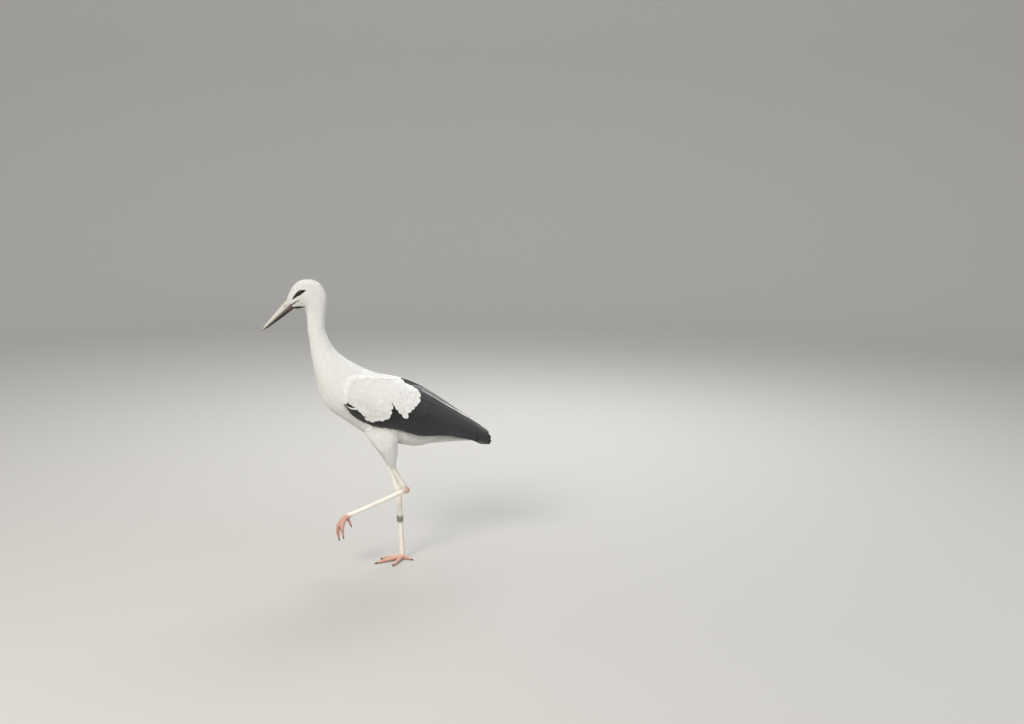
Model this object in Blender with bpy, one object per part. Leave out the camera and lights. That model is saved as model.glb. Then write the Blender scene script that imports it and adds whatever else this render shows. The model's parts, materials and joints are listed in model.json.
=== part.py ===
"""White stork, life size, walking: it stands on its right leg with the left foot lifted.

Metres, +Z up. The origin is the middle of the standing sole on the floor. The bird faces -X, its left
side is -Y, and its plane of symmetry is Y = MID_Y, because the standing foot is a little to its right.
"""

import math
from collections import namedtuple

import bpy
import bmesh
from mathutils import Vector

# ---- Driving sizes ---------------------------------------------------------------------------------
GAP = 0.0003            # between neighbouring pieces, which meet face to face
MID_Y = -0.024          # plane of symmetry of head, neck, trunk and tail
LEFT_LEG_Y = -0.052     # plane of the lifted left leg
RIGHT_LEG_Y = 0.0       # plane of the standing right leg
ROUNDNESS = 2.15        # exponent of the superellipse of the body's sections
BILL_DEPTH_UP = 0.0185  # upper mandible at its base, above the line where the bill closes
BILL_DEPTH_LOW = 0.0160
BILL_HALF_WIDTH = 0.0115
BILL_CLOSES_AT = 0.47   # of the way up the head's front face
BILL_TIP = (-0.4550, 0.8345)
BILL_POINT = 0.0013     # how blunt the bill's point is
EYE_RADIUS = 0.0076
EYE_XZ = (-0.3335, 0.9545)
EYE_PROUD = 0.0010      # how far the eyeball's cap stands out of the head
RING_HEIGHT = 0.0190    # leg ring
RING_MIDDLE_X, RING_MIDDLE_Z = -0.0060, 0.1470
RING_INNER_RADIUS = 0.0099
RING_OUTER_RADIUS = 0.0114

# ---- Sections of head, neck and trunk: dorsal point, ventral point (x, z) and half width --------------
Section = namedtuple("Section", "dorsal ventral half_width")
BODY = [
    Section((-0.376, 0.929), (-0.353, 0.899), 0.0135),  # 0 root of the bill
    Section((-0.363, 0.960), (-0.340, 0.8975), 0.0185),  # 1 lores
    Section((-0.345, 0.983), (-0.327, 0.8965), 0.0225),  # 2 eyes
    Section((-0.321, 0.994), (-0.317, 0.8955), 0.0255),  # 3 crown
    Section((-0.294, 0.994), (-0.313, 0.8910), 0.0265),  # 4 hind crown
    Section((-0.271, 0.984), (-0.312, 0.8830), 0.0262),  # 5
    Section((-0.253, 0.963), (-0.311, 0.872), 0.0255),  # 6 nape
    Section((-0.245, 0.932), (-0.310, 0.858), 0.0245),  # 7
    Section((-0.248, 0.896), (-0.310, 0.839), 0.0238),  # 8 top of the neck
    Section((-0.254, 0.859), (-0.309, 0.818), 0.0235),  # 9
    Section((-0.252, 0.824), (-0.305, 0.794), 0.0245),  # 10 slimmest part of the neck
    Section((-0.243, 0.798), (-0.302, 0.767), 0.0280),  # 11
    Section((-0.229, 0.771), (-0.299, 0.734), 0.0340),  # 12
    Section((-0.209, 0.746), (-0.294, 0.700), 0.0420),  # 13 foot of the neck
    Section((-0.183, 0.725), (-0.288, 0.664), 0.0515),  # 14
    Section((-0.150, 0.704), (-0.280, 0.625), 0.0620),  # 15 breast
    Section((-0.117, 0.686), (-0.269, 0.588), 0.0700),  # 16
    Section((-0.079, 0.671), (-0.247, 0.557), 0.0760),  # 17
    Section((-0.042, 0.658), (-0.215, 0.531), 0.0785),  # 18 widest part of the trunk
    Section((-0.006, 0.644), (-0.178, 0.504), 0.0785),  # 19
    Section((0.032, 0.627), (-0.138, 0.474), 0.0765),   # 20
    Section((0.068, 0.607), (-0.092, 0.449), 0.0720),   # 21 belly
    Section((0.098, 0.583), (-0.042, 0.431), 0.0655),   # 22
    Section((0.121, 0.553), (0.006, 0.417), 0.0570),    # 23
    Section((0.136, 0.519), (0.048, 0.410), 0.0465),    # 24 vent
    Section((0.143, 0.484), (0.090, 0.4165), 0.0340),   # 25 root of the tail
]
NECK_FROM, TRUNK_FROM = 8, 13
TAIL = [
    BODY[-1],
    Section((0.162, 0.462), (0.135, 0.4175), 0.0310),
    Section((0.192, 0.446), (0.182, 0.4175), 0.0285),
    Section((0.226, 0.437), (0.225, 0.4170), 0.0280),
    Section((0.254, 0.431), (0.255, 0.4165), 0.0280),
    Section((0.263, 0.4265), (0.264, 0.4185), 0.0250),
]

# ---- The folded wings' outer shape, as curves over x ---------------------------------------------------
WING_TOP = [(-0.212, 0.742), (-0.15, 0.708), (-0.10, 0.684), (-0.05, 0.667), (0.0, 0.651), (0.05, 0.630),
            (0.10, 0.600), (0.15, 0.565), (0.20, 0.527), (0.25, 0.491), (0.32, 0.440)]
WING_WAIST = [(-0.212, 0.625), (-0.15, 0.600), (-0.10, 0.580), (-0.05, 0.560), (0.0, 0.540), (0.05, 0.520),
              (0.10, 0.502), (0.15, 0.484), (0.20, 0.467), (0.25, 0.447), (0.32, 0.417)]
WING_HALF_WIDTH = [(-0.212, 0.064), (-0.15, 0.080), (-0.10, 0.087), (-0.05, 0.0905), (0.0, 0.0905),
                   (0.05, 0.087), (0.10, 0.079), (0.15, 0.068), (0.20, 0.056), (0.25, 0.045),
                   (0.32, 0.032)]
WING_LOWER_EDGE = [(-0.206, 0.586), (-0.200, 0.566), (-0.185, 0.552), (-0.165, 0.535), (-0.141, 0.518),
                   (-0.110, 0.502), (-0.075, 0.495), (-0.04, 0.489), (0.0, 0.475), (0.05, 0.458),
                   (0.115, 0.453), (0.19, 0.444), (0.225, 0.433), (0.258, 0.416), (0.30, 0.381)]
WING_UPPER_ANGLE = [(-0.206, 84), (-0.20, 72), (-0.185, 60), (-0.16, 48), (-0.12, 36), (-0.08, 27),
                    (-0.03, 17), (0.02, 8), (0.06, 4.5), (0.32, 4.5)]   # degrees down from the ridge
WING_THICKNESS = [(-0.21, 0.030), (0.0, 0.030), (0.06, 0.024), (0.10, 0.017), (0.16, 0.0115),
                  (0.24, 0.0080), (0.32, 0.0050)]  # over the trunk the inner side is cut to its shape
WING_FULLNESS = 0.93    # exponent of the wing's section: under 1 it is fuller than an ellipse
WING_EDGE = 0.0080      # the most at its lower edge
WING_SHELL = 0.0042     # the least that the wing stands out from the trunk
WING_END = [(0.0, 0.303), (0.14, 0.309), (0.2, 0.301), (0.36, 0.314), (0.42, 0.304), (0.6, 0.315),
            (0.68, 0.306), (0.86, 0.313), (1.0, 0.301)]  # x of the primaries' tips, upper edge to lower
WING_COLUMNS, WING_ROWS = 24, 9

# The white upper part of the wing ends in two lobes over the black flight feathers: (x, z) round its rim.
WHITE_FIELD = [(-0.230, 0.592), (-0.191, 0.584), (-0.160, 0.565), (-0.142, 0.545), (-0.128, 0.523),
               (-0.100, 0.521), (-0.073, 0.524), (-0.056, 0.536), (-0.052, 0.556), (-0.047, 0.573),
               (-0.034, 0.561), (-0.023, 0.545), (-0.007, 0.531), (0.008, 0.548), (0.031, 0.563),
               (0.048, 0.583), (0.056, 0.606), (0.012, 0.640), (0.004, 0.700), (-0.230, 0.800)]

# ---- Legs: distance down the bone, front radius, back radius, half width ---------------------------------
LegStation = namedtuple("LegStation", "x z front back half_width aside", defaults=[0.0])
SHANK_LENGTH = 0.245
STANDING_SHANK = [  # distance from the ankle as a share of the shank, then front, back, half width
    (1.08, 0.040, 0.080, 0.012),
    (0.86, 0.043, 0.082, 0.030),
    (0.71, 0.034, 0.068, 0.034),
    (0.60, 0.021, 0.051, 0.029),
    (0.49, 0.0120, 0.034, 0.0220),
    (0.40, 0.0090, 0.0180, 0.0140),
    (0.33, 0.0078, 0.0095, 0.0090),
    (0.20, 0.0072, 0.0076, 0.0066),
    (0.07, 0.0098, 0.0100, 0.0082),
]
LIFTED_SHANK = [
    (1.08, 0.028, 0.080, 0.012),
    (0.86, 0.0235, 0.084, 0.028),
    (0.71, 0.0185, 0.070, 0.034),
    (0.61, 0.0105, 0.052, 0.029),
    (0.50, 0.0078, 0.034, 0.0220),
    (0.42, 0.0074, 0.0170, 0.0140),
    (0.35, 0.0072, 0.0088, 0.0088),
    (0.20, 0.0070, 0.0074, 0.0066),
    (0.09, 0.0080, 0.0092, 0.0080),
]
INNER_REACH = 0.0045    # from a bent joint's inner corner to the middle of its rings
INNER_FRONT = 0.0032    # radius of those rings on the corner's side
LEG_SIDES, TOE_SIDES, CLAW_SIDES = 12, 8, 6
TOE_FLATTEN = 0.9       # a toe's height as a share of its width
SOLE_PRESS = 0.0007     # how deep the floor presses the standing toes flat
CLAW_LENGTH, CLAW_HOOK = 0.0085, 0.0010
Leg = namedtuple("Leg", "label y shank ankle tarsus hub toes")


# ---- Curves and lofts --------------------------------------------------------------------------------
def smooth(points, t):
    """The Catmull-Rom curve through rows of numbers, at t rows from the start."""
    last = len(points) - 1
    i = min(int(t), last - 1)
    f = t - i
    a, b, c, d = (points[min(max(k, 0), last)] for k in (i - 1, i, i + 1, i + 2))
    return [
        0.5 * (2 * q + (r - p) * f + (2 * p - 5 * q + 4 * r - s) * f * f + (3 * q - p - 3 * r + s) * f ** 3)
        for p, q, r, s in zip(a, b, c, d)
    ]


def curve_at(points, x):
    """The height over x of a smooth curve through (x, value) points."""
    last = len(points) - 1
    if x <= points[0][0]:
        return points[0][1]
    if x >= points[last][0]:
        return points[last][1]
    i = max(k for k in range(last) if points[k][0] <= x)
    f = (x - points[i][0]) / (points[i + 1][0] - points[i][0])
    return smooth([(value,) for _, value in points], i + f)[0]


def power(value, exponent):
    return math.copysign(abs(value) ** exponent, value)


def section_ring(section, mid_y, sides, grow=0.0):
    """A superellipse between the dorsal and ventral points of (dx, dz, vx, vz, half width)."""
    dx, dz, vx, vz, half_width = section
    middle = Vector(((dx + vx) / 2, mid_y, (dz + vz) / 2))
    up = Vector(((dx - vx) / 2, 0, (dz - vz) / 2))
    up = up * (1 + grow / up.length)
    side = Vector((0, half_width + grow, 0))
    ring = []
    for k in range(sides):
        angle = 2 * math.pi * k / sides
        c = power(math.cos(angle), 2 / ROUNDNESS)
        s = power(math.sin(angle), 2 / ROUNDNESS)
        ring.append(middle + up * c + side * s)
    return ring


def loft(name, rings, material, hidden=False):
    """A closed solid through rings of points, with flat ends."""
    bm = bmesh.new()
    loops = [[bm.verts.new(point) for point in ring] for ring in rings]
    for one, two in zip(loops, loops[1:]):
        for k in range(len(one)):
            m = (k + 1) % len(one)
            bm.faces.new((one[k], one[m], two[m], two[k]))
    bm.faces.new(reversed(loops[0]))
    bm.faces.new(loops[-1])
    bmesh.ops.recalc_face_normals(bm, faces=bm.faces)
    return add_object(name, bm, material, hidden)


def add_object(name, bm, material, hidden=False):
    mesh = bpy.data.meshes.new(name)
    bm.to_mesh(mesh)
    bm.free()
    mesh.shade_smooth()
    mesh.set_sharp_from_angle(angle=math.radians(40))
    obj = bpy.data.objects.new(name, mesh)
    bpy.context.scene.collection.objects.link(obj)
    if hidden:
        obj.hide_render = True
        obj.display_type = "WIRE"
    else:
        obj.data.materials.append(material)
    return obj


def shifted(ring, by):
    return [point + by for point in ring]


def boolean(target, other, operation):
    modifier = target.modifiers.new(operation.title(), "BOOLEAN")
    modifier.operation = operation
    modifier.solver = "EXACT"
    modifier.object = other


def make_material(name, colour, roughness, metallic=0.0):
    material = bpy.data.materials.new(name)
    material.use_nodes = True
    shader = material.node_tree.nodes["Principled BSDF"]
    shader.inputs["Base Color"].default_value = (*colour, 1.0)
    shader.inputs["Roughness"].default_value = roughness
    shader.inputs["Metallic"].default_value = metallic
    return material


# ---- Head, neck, trunk and tail ------------------------------------------------------------------------
def flat_rows(sections):
    return [(*s.dorsal, *s.ventral, s.half_width) for s in sections]


def body_rings(sections, first, last, count, sides, grow=0.0, start_gap=True):
    """Rings from section first to section last. The first is moved on by GAP where a neighbour ends there."""
    rows = flat_rows(sections)
    spots = [first + (last - first) * k / (count - 1) for k in range(count)]
    rings = [section_ring(smooth(rows, t), MID_Y, sides, grow) for t in spots]
    if start_gap:
        across = (rings[0][0] - rings[0][sides // 2]).normalized()
        along = Vector((-across.z, 0, across.x))
        ahead = rings[1][0] + rings[1][sides // 2] - rings[0][0] - rings[0][sides // 2]
        rings[0] = shifted(rings[0], along * math.copysign(GAP, along.dot(ahead)))
    return rings


def body_half_width(x, z, first, last):
    """The body's half width at (x, z) between two sections, or 0 outside it.

    It is found on the section that passes through (x, z), by halving the range of sections.
    """
    rows = flat_rows(BODY)

    def beyond(t):
        dx, dz, vx, vz, _ = smooth(rows, t)
        return (x - vx) * (dz - vz) - (z - vz) * (dx - vx)

    low, high = float(first), float(last)
    sign = 1 if beyond(low) > 0 else -1
    if beyond(high) * sign > 0:
        return 0.0
    for _ in range(24):
        t = (low + high) / 2
        low, high = (t, high) if beyond(t) * sign > 0 else (low, t)
    dx, dz, vx, vz, half_width = smooth(rows, low)
    height = (dx - vx) ** 2 + (dz - vz) ** 2
    share = abs(2 * ((x - vx) * (dx - vx) + (z - vz) * (dz - vz)) / height - 1)
    return half_width * max(0.0, 1 - share ** ROUNDNESS) ** (1 / ROUNDNESS)


def make_head(feathers):
    head = loft("head", body_rings(BODY, 0, NECK_FROM, 19, 22, start_gap=False), feathers)
    for side in (-1, 1):
        socket = ball(f"eye_socket_{side}", eye_centre(side), EYE_RADIUS + GAP, None, hidden=True)
        boolean(head, socket, "DIFFERENCE")


def eye_centre(side):
    offset = body_half_width(*EYE_XZ, 0, NECK_FROM) + EYE_PROUD - EYE_RADIUS
    return Vector((EYE_XZ[0], MID_Y + side * offset, EYE_XZ[1]))


def ball(name, centre, radius, material, hidden=False):
    bm = bmesh.new()
    bmesh.ops.create_icosphere(bm, subdivisions=2, radius=radius)
    bmesh.ops.translate(bm, vec=centre, verts=bm.verts)
    return add_object(name, bm, material, hidden)


def make_bill(horn):
    """Two mandibles that leave the head's front face, with flat faces where the bill closes."""
    above, below = (Vector((x, MID_Y, z)) for x, z in (BODY[0].dorsal, BODY[0].ventral))
    upward = (above - below).normalized()
    root = below.lerp(above, BILL_CLOSES_AT) + Vector((-upward.z, 0, upward.x)) * GAP
    tip = Vector((BILL_TIP[0], MID_Y, BILL_TIP[1]))
    across = Vector((0, 1, 0))
    rings_of = {"bill_upper": [], "bill_lower": []}
    for k in range(11):
        s = (k / 10) ** 0.85
        taper = (1 - s) ** 0.68
        width = BILL_HALF_WIDTH * (1 - s) ** 0.62 + BILL_POINT
        middle = root.lerp(tip, s)
        for name, sign, depth in (("bill_upper", 1, BILL_DEPTH_UP), ("bill_lower", -1, BILL_DEPTH_LOW)):
            height = depth * taper + BILL_POINT
            ring = []
            for m in range(9):
                angle = math.pi * m / 8
                rise = math.sin(angle) ** 0.8 * height + GAP / 2
                ring.append(middle + across * width * math.cos(angle) + upward * sign * rise)
            ring += [middle + across * width * share + upward * sign * GAP / 2 for share in (-0.4, 0.4)]
            rings_of[name].append(ring)
    for name, rings in rings_of.items():
        loft(name, rings, horn)


def make_trunk_cutter():
    """The trunk grown by GAP, which shapes what lies on it."""
    rings = body_rings(BODY, TRUNK_FROM - 1, len(BODY) - 1, 23, 24, grow=GAP, start_gap=False)
    return loft("trunk_cutter", rings, None, hidden=True)


# ---- Wings -----------------------------------------------------------------------------------------------
def wing_point(x, angle, side):
    """A point on the folded wing's outer face, at an angle down from the ridge."""
    top, waist = curve_at(WING_TOP, x), curve_at(WING_WAIST, x)
    z = waist + (top - waist) * math.cos(angle)
    own = curve_at(WING_HALF_WIDTH, x) * math.sin(angle) ** WING_FULLNESS
    over_trunk = body_half_width(x, z, TRUNK_FROM - 1, len(BODY) - 1) + WING_SHELL
    return Vector((x, MID_Y + side * max(own, over_trunk), z))


def wing_angles(x):
    """The angles of the wing's upper and lower edges."""
    top, waist = curve_at(WING_TOP, x), curve_at(WING_WAIST, x)
    low = (curve_at(WING_LOWER_EDGE, x) - waist) / (top - waist)
    return math.radians(curve_at(WING_UPPER_ANGLE, x)), math.acos(max(-0.98, min(0.98, low)))


def make_wing_block(name, side, material, hidden=False):
    """Outer grid, inner grid at the wing's thickness, and a rim between them."""
    first_x = WING_LOWER_EDGE[0][0]
    outer = []
    for i in range(WING_COLUMNS):
        column = []
        for j in range(WING_ROWS):
            v = j / (WING_ROWS - 1)
            x = first_x + (curve_at(WING_END, v) - first_x) * (i / (WING_COLUMNS - 1)) ** 1.1
            upper, lower = wing_angles(x)
            column.append(wing_point(x, upper + (lower - upper) * v, side))
        outer.append(column)
    bm = bmesh.new()
    grids = []
    for inward in (False, True):
        grid = []
        for i in range(WING_COLUMNS):
            column = []
            for j in range(WING_ROWS):
                point = outer[i][j].copy()
                if inward:
                    point += wing_normal(outer, i, j, side) * -wing_thickness(point.x, j)
                    if (point.y - MID_Y) * side < GAP:
                        point.y = MID_Y + side * GAP
                column.append(bm.verts.new(point))
            grid.append(column)
        grids.append(grid)
    for grid in grids:
        for i in range(WING_COLUMNS - 1):
            for j in range(WING_ROWS - 1):
                bm.faces.new((grid[i][j], grid[i + 1][j], grid[i + 1][j + 1], grid[i][j + 1]))
    rim = [(i, 0) for i in range(WING_COLUMNS)]
    rim += [(WING_COLUMNS - 1, j) for j in range(1, WING_ROWS)]
    rim += [(i, WING_ROWS - 1) for i in range(WING_COLUMNS - 2, -1, -1)]
    rim += [(0, j) for j in range(WING_ROWS - 2, 0, -1)]
    for (i, j), (m, n) in zip(rim, rim[1:] + rim[:1]):
        bm.faces.new((grids[0][i][j], grids[0][m][n], grids[1][m][n], grids[1][i][j]))
    bmesh.ops.recalc_face_normals(bm, faces=bm.faces)
    return add_object(name, bm, material, hidden)


def wing_normal(grid, i, j, side):
    """The outward normal of the outer face at a grid point."""
    along = grid[min(i + 1, WING_COLUMNS - 1)][j] - grid[max(i - 1, 0)][j]
    down = grid[i][min(j + 1, WING_ROWS - 1)] - grid[i][max(j - 1, 0)]
    normal = along.cross(down).normalized()
    return normal if normal.y * side > 0 else -normal


def wing_thickness(x, j):
    """The wing's thickness, which thins to its lower edge, and to its upper edge behind the trunk."""
    thickness = curve_at(WING_THICKNESS, x)
    if j == WING_ROWS - 1:
        return min(thickness * 0.5, WING_EDGE)
    if j == WING_ROWS - 2:
        return thickness * 0.7
    return thickness * (0.5 if j == 0 and x > 0.08 else 1.0)


def outset(outline, by):
    """A closed outline of (x, z) points moved out square to its sides."""
    count = len(outline)
    corners = [Vector(point) for point in outline]
    turn = sum(a.x * b.y - b.x * a.y for a, b in zip(corners, corners[1:] + corners[:1]))
    moved = []
    for k in range(count):
        normals = []
        for a, b in ((corners[k - 1], corners[k]), (corners[k], corners[(k + 1) % count])):
            side = (b - a).normalized()
            normals.append(Vector((side.y, -side.x)) * math.copysign(1, turn))
        mean = (normals[0] + normals[1]).normalized()
        moved.append(corners[k] + mean * by / max(0.3, mean.dot(normals[0])))
    return moved


def make_white_prism(name, side, grow):
    """A prism over WHITE_FIELD, which parts the white coverts from the black flight feathers."""
    bm = bmesh.new()
    outline = outset(WHITE_FIELD, grow)
    near = [bm.verts.new((point.x, MID_Y - side * 0.004, point.y)) for point in outline]
    far = [bm.verts.new((point.x, MID_Y + side * 0.160, point.y)) for point in outline]
    count = len(near)
    for k in range(count):
        m = (k + 1) % count
        bm.faces.new((near[k], near[m], far[m], far[k]))
    bm.faces.new(near)
    bm.faces.new(far)
    bmesh.ops.recalc_face_normals(bm, faces=bm.faces)
    return add_object(name, bm, None, hidden=True)


def make_wing(side, label, trunk_cutter, white, black):
    """The folded wing, as its white coverts and scapulars and its black flight feathers."""
    coverts = make_wing_block(f"wing_coverts_{label}", side, white)
    boolean(coverts, trunk_cutter, "DIFFERENCE")
    boolean(coverts, make_white_prism(f"white_field_{label}", side, 0.0), "INTERSECT")
    flight = make_wing_block(f"flight_feathers_{label}", side, black)
    boolean(flight, trunk_cutter, "DIFFERENCE")
    boolean(flight, make_white_prism(f"white_field_grown_{label}", side, GAP), "DIFFERENCE")


# ---- Legs ------------------------------------------------------------------------------------------------
def limb_rings(stations, y, sides):
    """Rings square to a path in the plane Y = y, with separate front and back radii."""
    rings = []
    for k, station in enumerate(stations):
        before, after = stations[max(k - 1, 0)], stations[min(k + 1, len(stations) - 1)]
        along = Vector((after.x - before.x, 0, after.z - before.z)).normalized()
        front = Vector((along.z, 0, -along.x))
        middle = Vector((station.x, y + station.aside, station.z))
        ring = []
        for m in range(sides):
            angle = 2 * math.pi * m / sides
            reach = station.front if math.cos(angle) > 0 else station.back
            ring.append(middle + front * reach * math.cos(angle)
                        + Vector((0, station.half_width * math.sin(angle), 0)))
        rings.append(ring)
    return rings


def shank_stations(ankle, upward, splay, rows):
    """The feathered shank and its bare end, from inside the belly to the ankle. It is splayed upwards."""
    return [
        LegStation(ankle[0] + upward[0] * SHANK_LENGTH * share, ankle[1] + upward[1] * SHANK_LENGTH * share,
                   front, back, half_width, splay * share)
        for share, front, back, half_width in rows
    ]


def fine(stations, steps):
    """Stations with smooth steps between them."""
    rows = [tuple(station) for station in stations]
    count = (len(rows) - 1) * steps + 1
    return [LegStation(*smooth(rows, k / steps)) for k in range(count)]


def parted(rings, cut):
    """One run of rings as two, with GAP between them at ring number cut."""
    across = rings[cut][0] - rings[cut][len(rings[cut]) // 2]
    normal = Vector((0, 1, 0)).cross(across).normalized()
    if normal.dot(rings[cut + 1][0] - rings[cut][0]) < 0:
        normal = -normal
    return rings[:cut + 1], [shifted(rings[cut], normal * GAP)] + rings[cut + 1:]


def bent_ankle(corner, radii, half_widths, start_degrees, end_degrees):
    """Stations that fan round the inner corner of a bent joint, which keeps them from crossing there."""
    stations = []
    for k, (radius, half_width) in enumerate(zip(radii, half_widths)):
        angle = math.radians(start_degrees + (end_degrees - start_degrees) * k / (len(radii) - 1))
        x, z = corner[0] + INNER_REACH * math.cos(angle), corner[1] + INNER_REACH * math.sin(angle)
        stations.append(LegStation(x, z, INNER_FRONT, radius - INNER_REACH, half_width))
    return stations


def make_leg(leg, trunk_cutter, feathers, skin):
    """Shank, tarsus and the hub of the foot as one run of rings, parted square across. Returns the hub."""
    shank = fine(leg.shank, 2)
    path = shank + leg.ankle + fine(leg.tarsus + leg.hub, 2)
    rings = limb_rings(path, leg.y, LEG_SIDES)
    middle = len(leg.ankle) // 2
    upper, rest = parted(rings, len(shank) + middle)
    lower, hub = parted(rest, len(leg.ankle) - middle + 2 * len(leg.tarsus) - 2)
    feathered = loft(f"shank_{leg.label}", upper, feathers)
    boolean(feathered, trunk_cutter, "DIFFERENCE")
    loft(f"tarsus_{leg.label}", lower, skin)
    return hub


def tube_rings(points, radii, sides):
    """Rings along a path in space, a little wider than tall, with no twist between them."""
    rows = [(*point, radius) for point, radius in zip(points, radii)]
    path = [smooth(rows, k / 2) for k in range(2 * len(rows) - 1)]
    across, _ = frame_along(Vector(path[1][:3]) - Vector(path[0][:3]))
    angles = [2 * math.pi * (m + 0.5) / sides for m in range(sides)]
    rings = []
    for k, row in enumerate(path):
        before, after = path[max(k - 1, 0)], path[min(k + 1, len(path) - 1)]
        along = (Vector(after[:3]) - Vector(before[:3])).normalized()
        across = (across - along * across.dot(along)).normalized()
        above = across.cross(along)
        middle, radius = Vector(row[:3]), row[3]
        wide, tall = across * radius, above * radius * TOE_FLATTEN
        rings.append([middle + wide * math.cos(angle) + tall * math.sin(angle) for angle in angles])
    return rings


def frame_along(along):
    """Two directions square to a path and to each other, the first one level where the path isn't steep."""
    reference = Vector((0, 0, 1)) if abs(along.normalized().z) < 0.75 else Vector((1, 0, 0))
    across = along.cross(reference).normalized()
    return across, across.cross(along).normalized()


def on_floor(rings):
    """The rings with nothing below the floor, which gives the sole its flats."""
    return [[Vector((p.x, p.y, max(p.z, 0.0))) for p in ring] for ring in rings]


def make_foot(leg, hub, skin, horn):
    """The hub of the foot joined with its toes, and a claw on the end of each."""
    foot = loft(f"foot_{leg.label}", on_floor(hub), skin)
    for toe, (points, radii) in leg.toes.items():
        rings = on_floor(tube_rings(points, radii, TOE_SIDES))
        part = loft(f"{toe}_{leg.label}", rings, skin, hidden=True)
        boolean(foot, part, "UNION")
        make_claw(f"claw_{toe}_{leg.label}", Vector(points[-1]), Vector(points[-1]) - Vector(points[-2]),
                  radii[-1], horn)


def make_claw(name, end, along, radius, horn):
    """A short blunt nail that leaves the toe's end face and bends down a little."""
    across, above = frame_along(along)
    rings = []
    for k in range(4):
        s = k / 3
        size = radius * (0.86 - 0.66 * s)
        middle = end + along.normalized() * (GAP + CLAW_LENGTH * s) - above * CLAW_HOOK * s * s
        angles = [2 * math.pi * m / CLAW_SIDES for m in range(CLAW_SIDES)]
        rings.append([middle + (across * math.cos(angle) + above * math.sin(angle)) * size
                      for angle in angles])
    loft(name, on_floor(rings), horn)


def from_hub(hub, offsets, radii):
    """A toe's path, given from the middle of the foot's hub, and its radii."""
    return [Vector(hub) + Vector(offset) for offset in offsets], radii


def on_sole(points, radii):
    """A toe's path and radii, low enough for the floor to press its underside flat."""
    return [(x, y, radius * TOE_FLATTEN - SOLE_PRESS) for (x, y), radius in zip(points, radii)], radii


def left_leg():
    """The lifted leg, with its toes hanging closed."""
    hub = (-0.2030, LEFT_LEG_Y, 0.1870)
    return Leg(
        label="left", y=LEFT_LEG_Y,
        shank=shank_stations((0.0045, 0.2650), (-0.479, 0.878), -0.0185, LIFTED_SHANK),
        ankle=bent_ankle((-0.0063, 0.2686), (0.0168, 0.0235, 0.0275, 0.0265, 0.0195),
                         (0.0092, 0.0102, 0.0106, 0.0104, 0.0092), 28.6, -70.1),
        tarsus=[
            LegStation(-0.0170, 0.2560, 0.0058, 0.0096, 0.0082),
            LegStation(-0.0320, 0.2490, 0.0072, 0.0080, 0.0074),
            LegStation(-0.0700, 0.2350, 0.0072, 0.0074, 0.0064),
            LegStation(-0.1226, 0.2160, 0.0070, 0.0073, 0.0062),
            LegStation(-0.1700, 0.1990, 0.0074, 0.0080, 0.0070),
            LegStation(-0.1900, 0.1930, 0.0082, 0.0088, 0.0080),
        ],
        hub=[
            LegStation(-0.1985, 0.1895, 0.0088, 0.0094, 0.0088),
            LegStation(-0.2065, 0.1860, 0.0084, 0.0084, 0.0084),
            LegStation(-0.2115, 0.1835, 0.0052, 0.0052, 0.0054),
        ],
        toes={
            "toe_inner": from_hub(hub, [(0.001, 0.002, 0.000), (-0.010, 0.007, -0.013),
                                        (-0.018, 0.013, -0.034), (-0.013, 0.015, -0.058)],
                                  [0.0078, 0.0068, 0.0062, 0.0038]),
            "toe_middle": from_hub(hub, [(0.000, 0.000, 0.001), (-0.016, 0.000, -0.011),
                                         (-0.028, 0.000, -0.031), (-0.0295, 0.000, -0.055),
                                         (-0.0255, 0.000, -0.0745)],
                                   [0.0082, 0.0074, 0.0068, 0.0060, 0.0040]),
            "toe_outer": from_hub(hub, [(0.001, -0.002, 0.000), (-0.009, -0.009, -0.014),
                                        (-0.017, -0.015, -0.037), (-0.0135, -0.018, -0.063)],
                                  [0.0078, 0.0068, 0.0062, 0.0038]),
            "toe_hind": from_hub(hub, [(0.001, 0.001, -0.003), (0.0105, 0.003, -0.017),
                                       (0.0165, 0.004, -0.0325)],
                                 [0.0066, 0.0056, 0.0036]),
        },
    )


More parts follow.
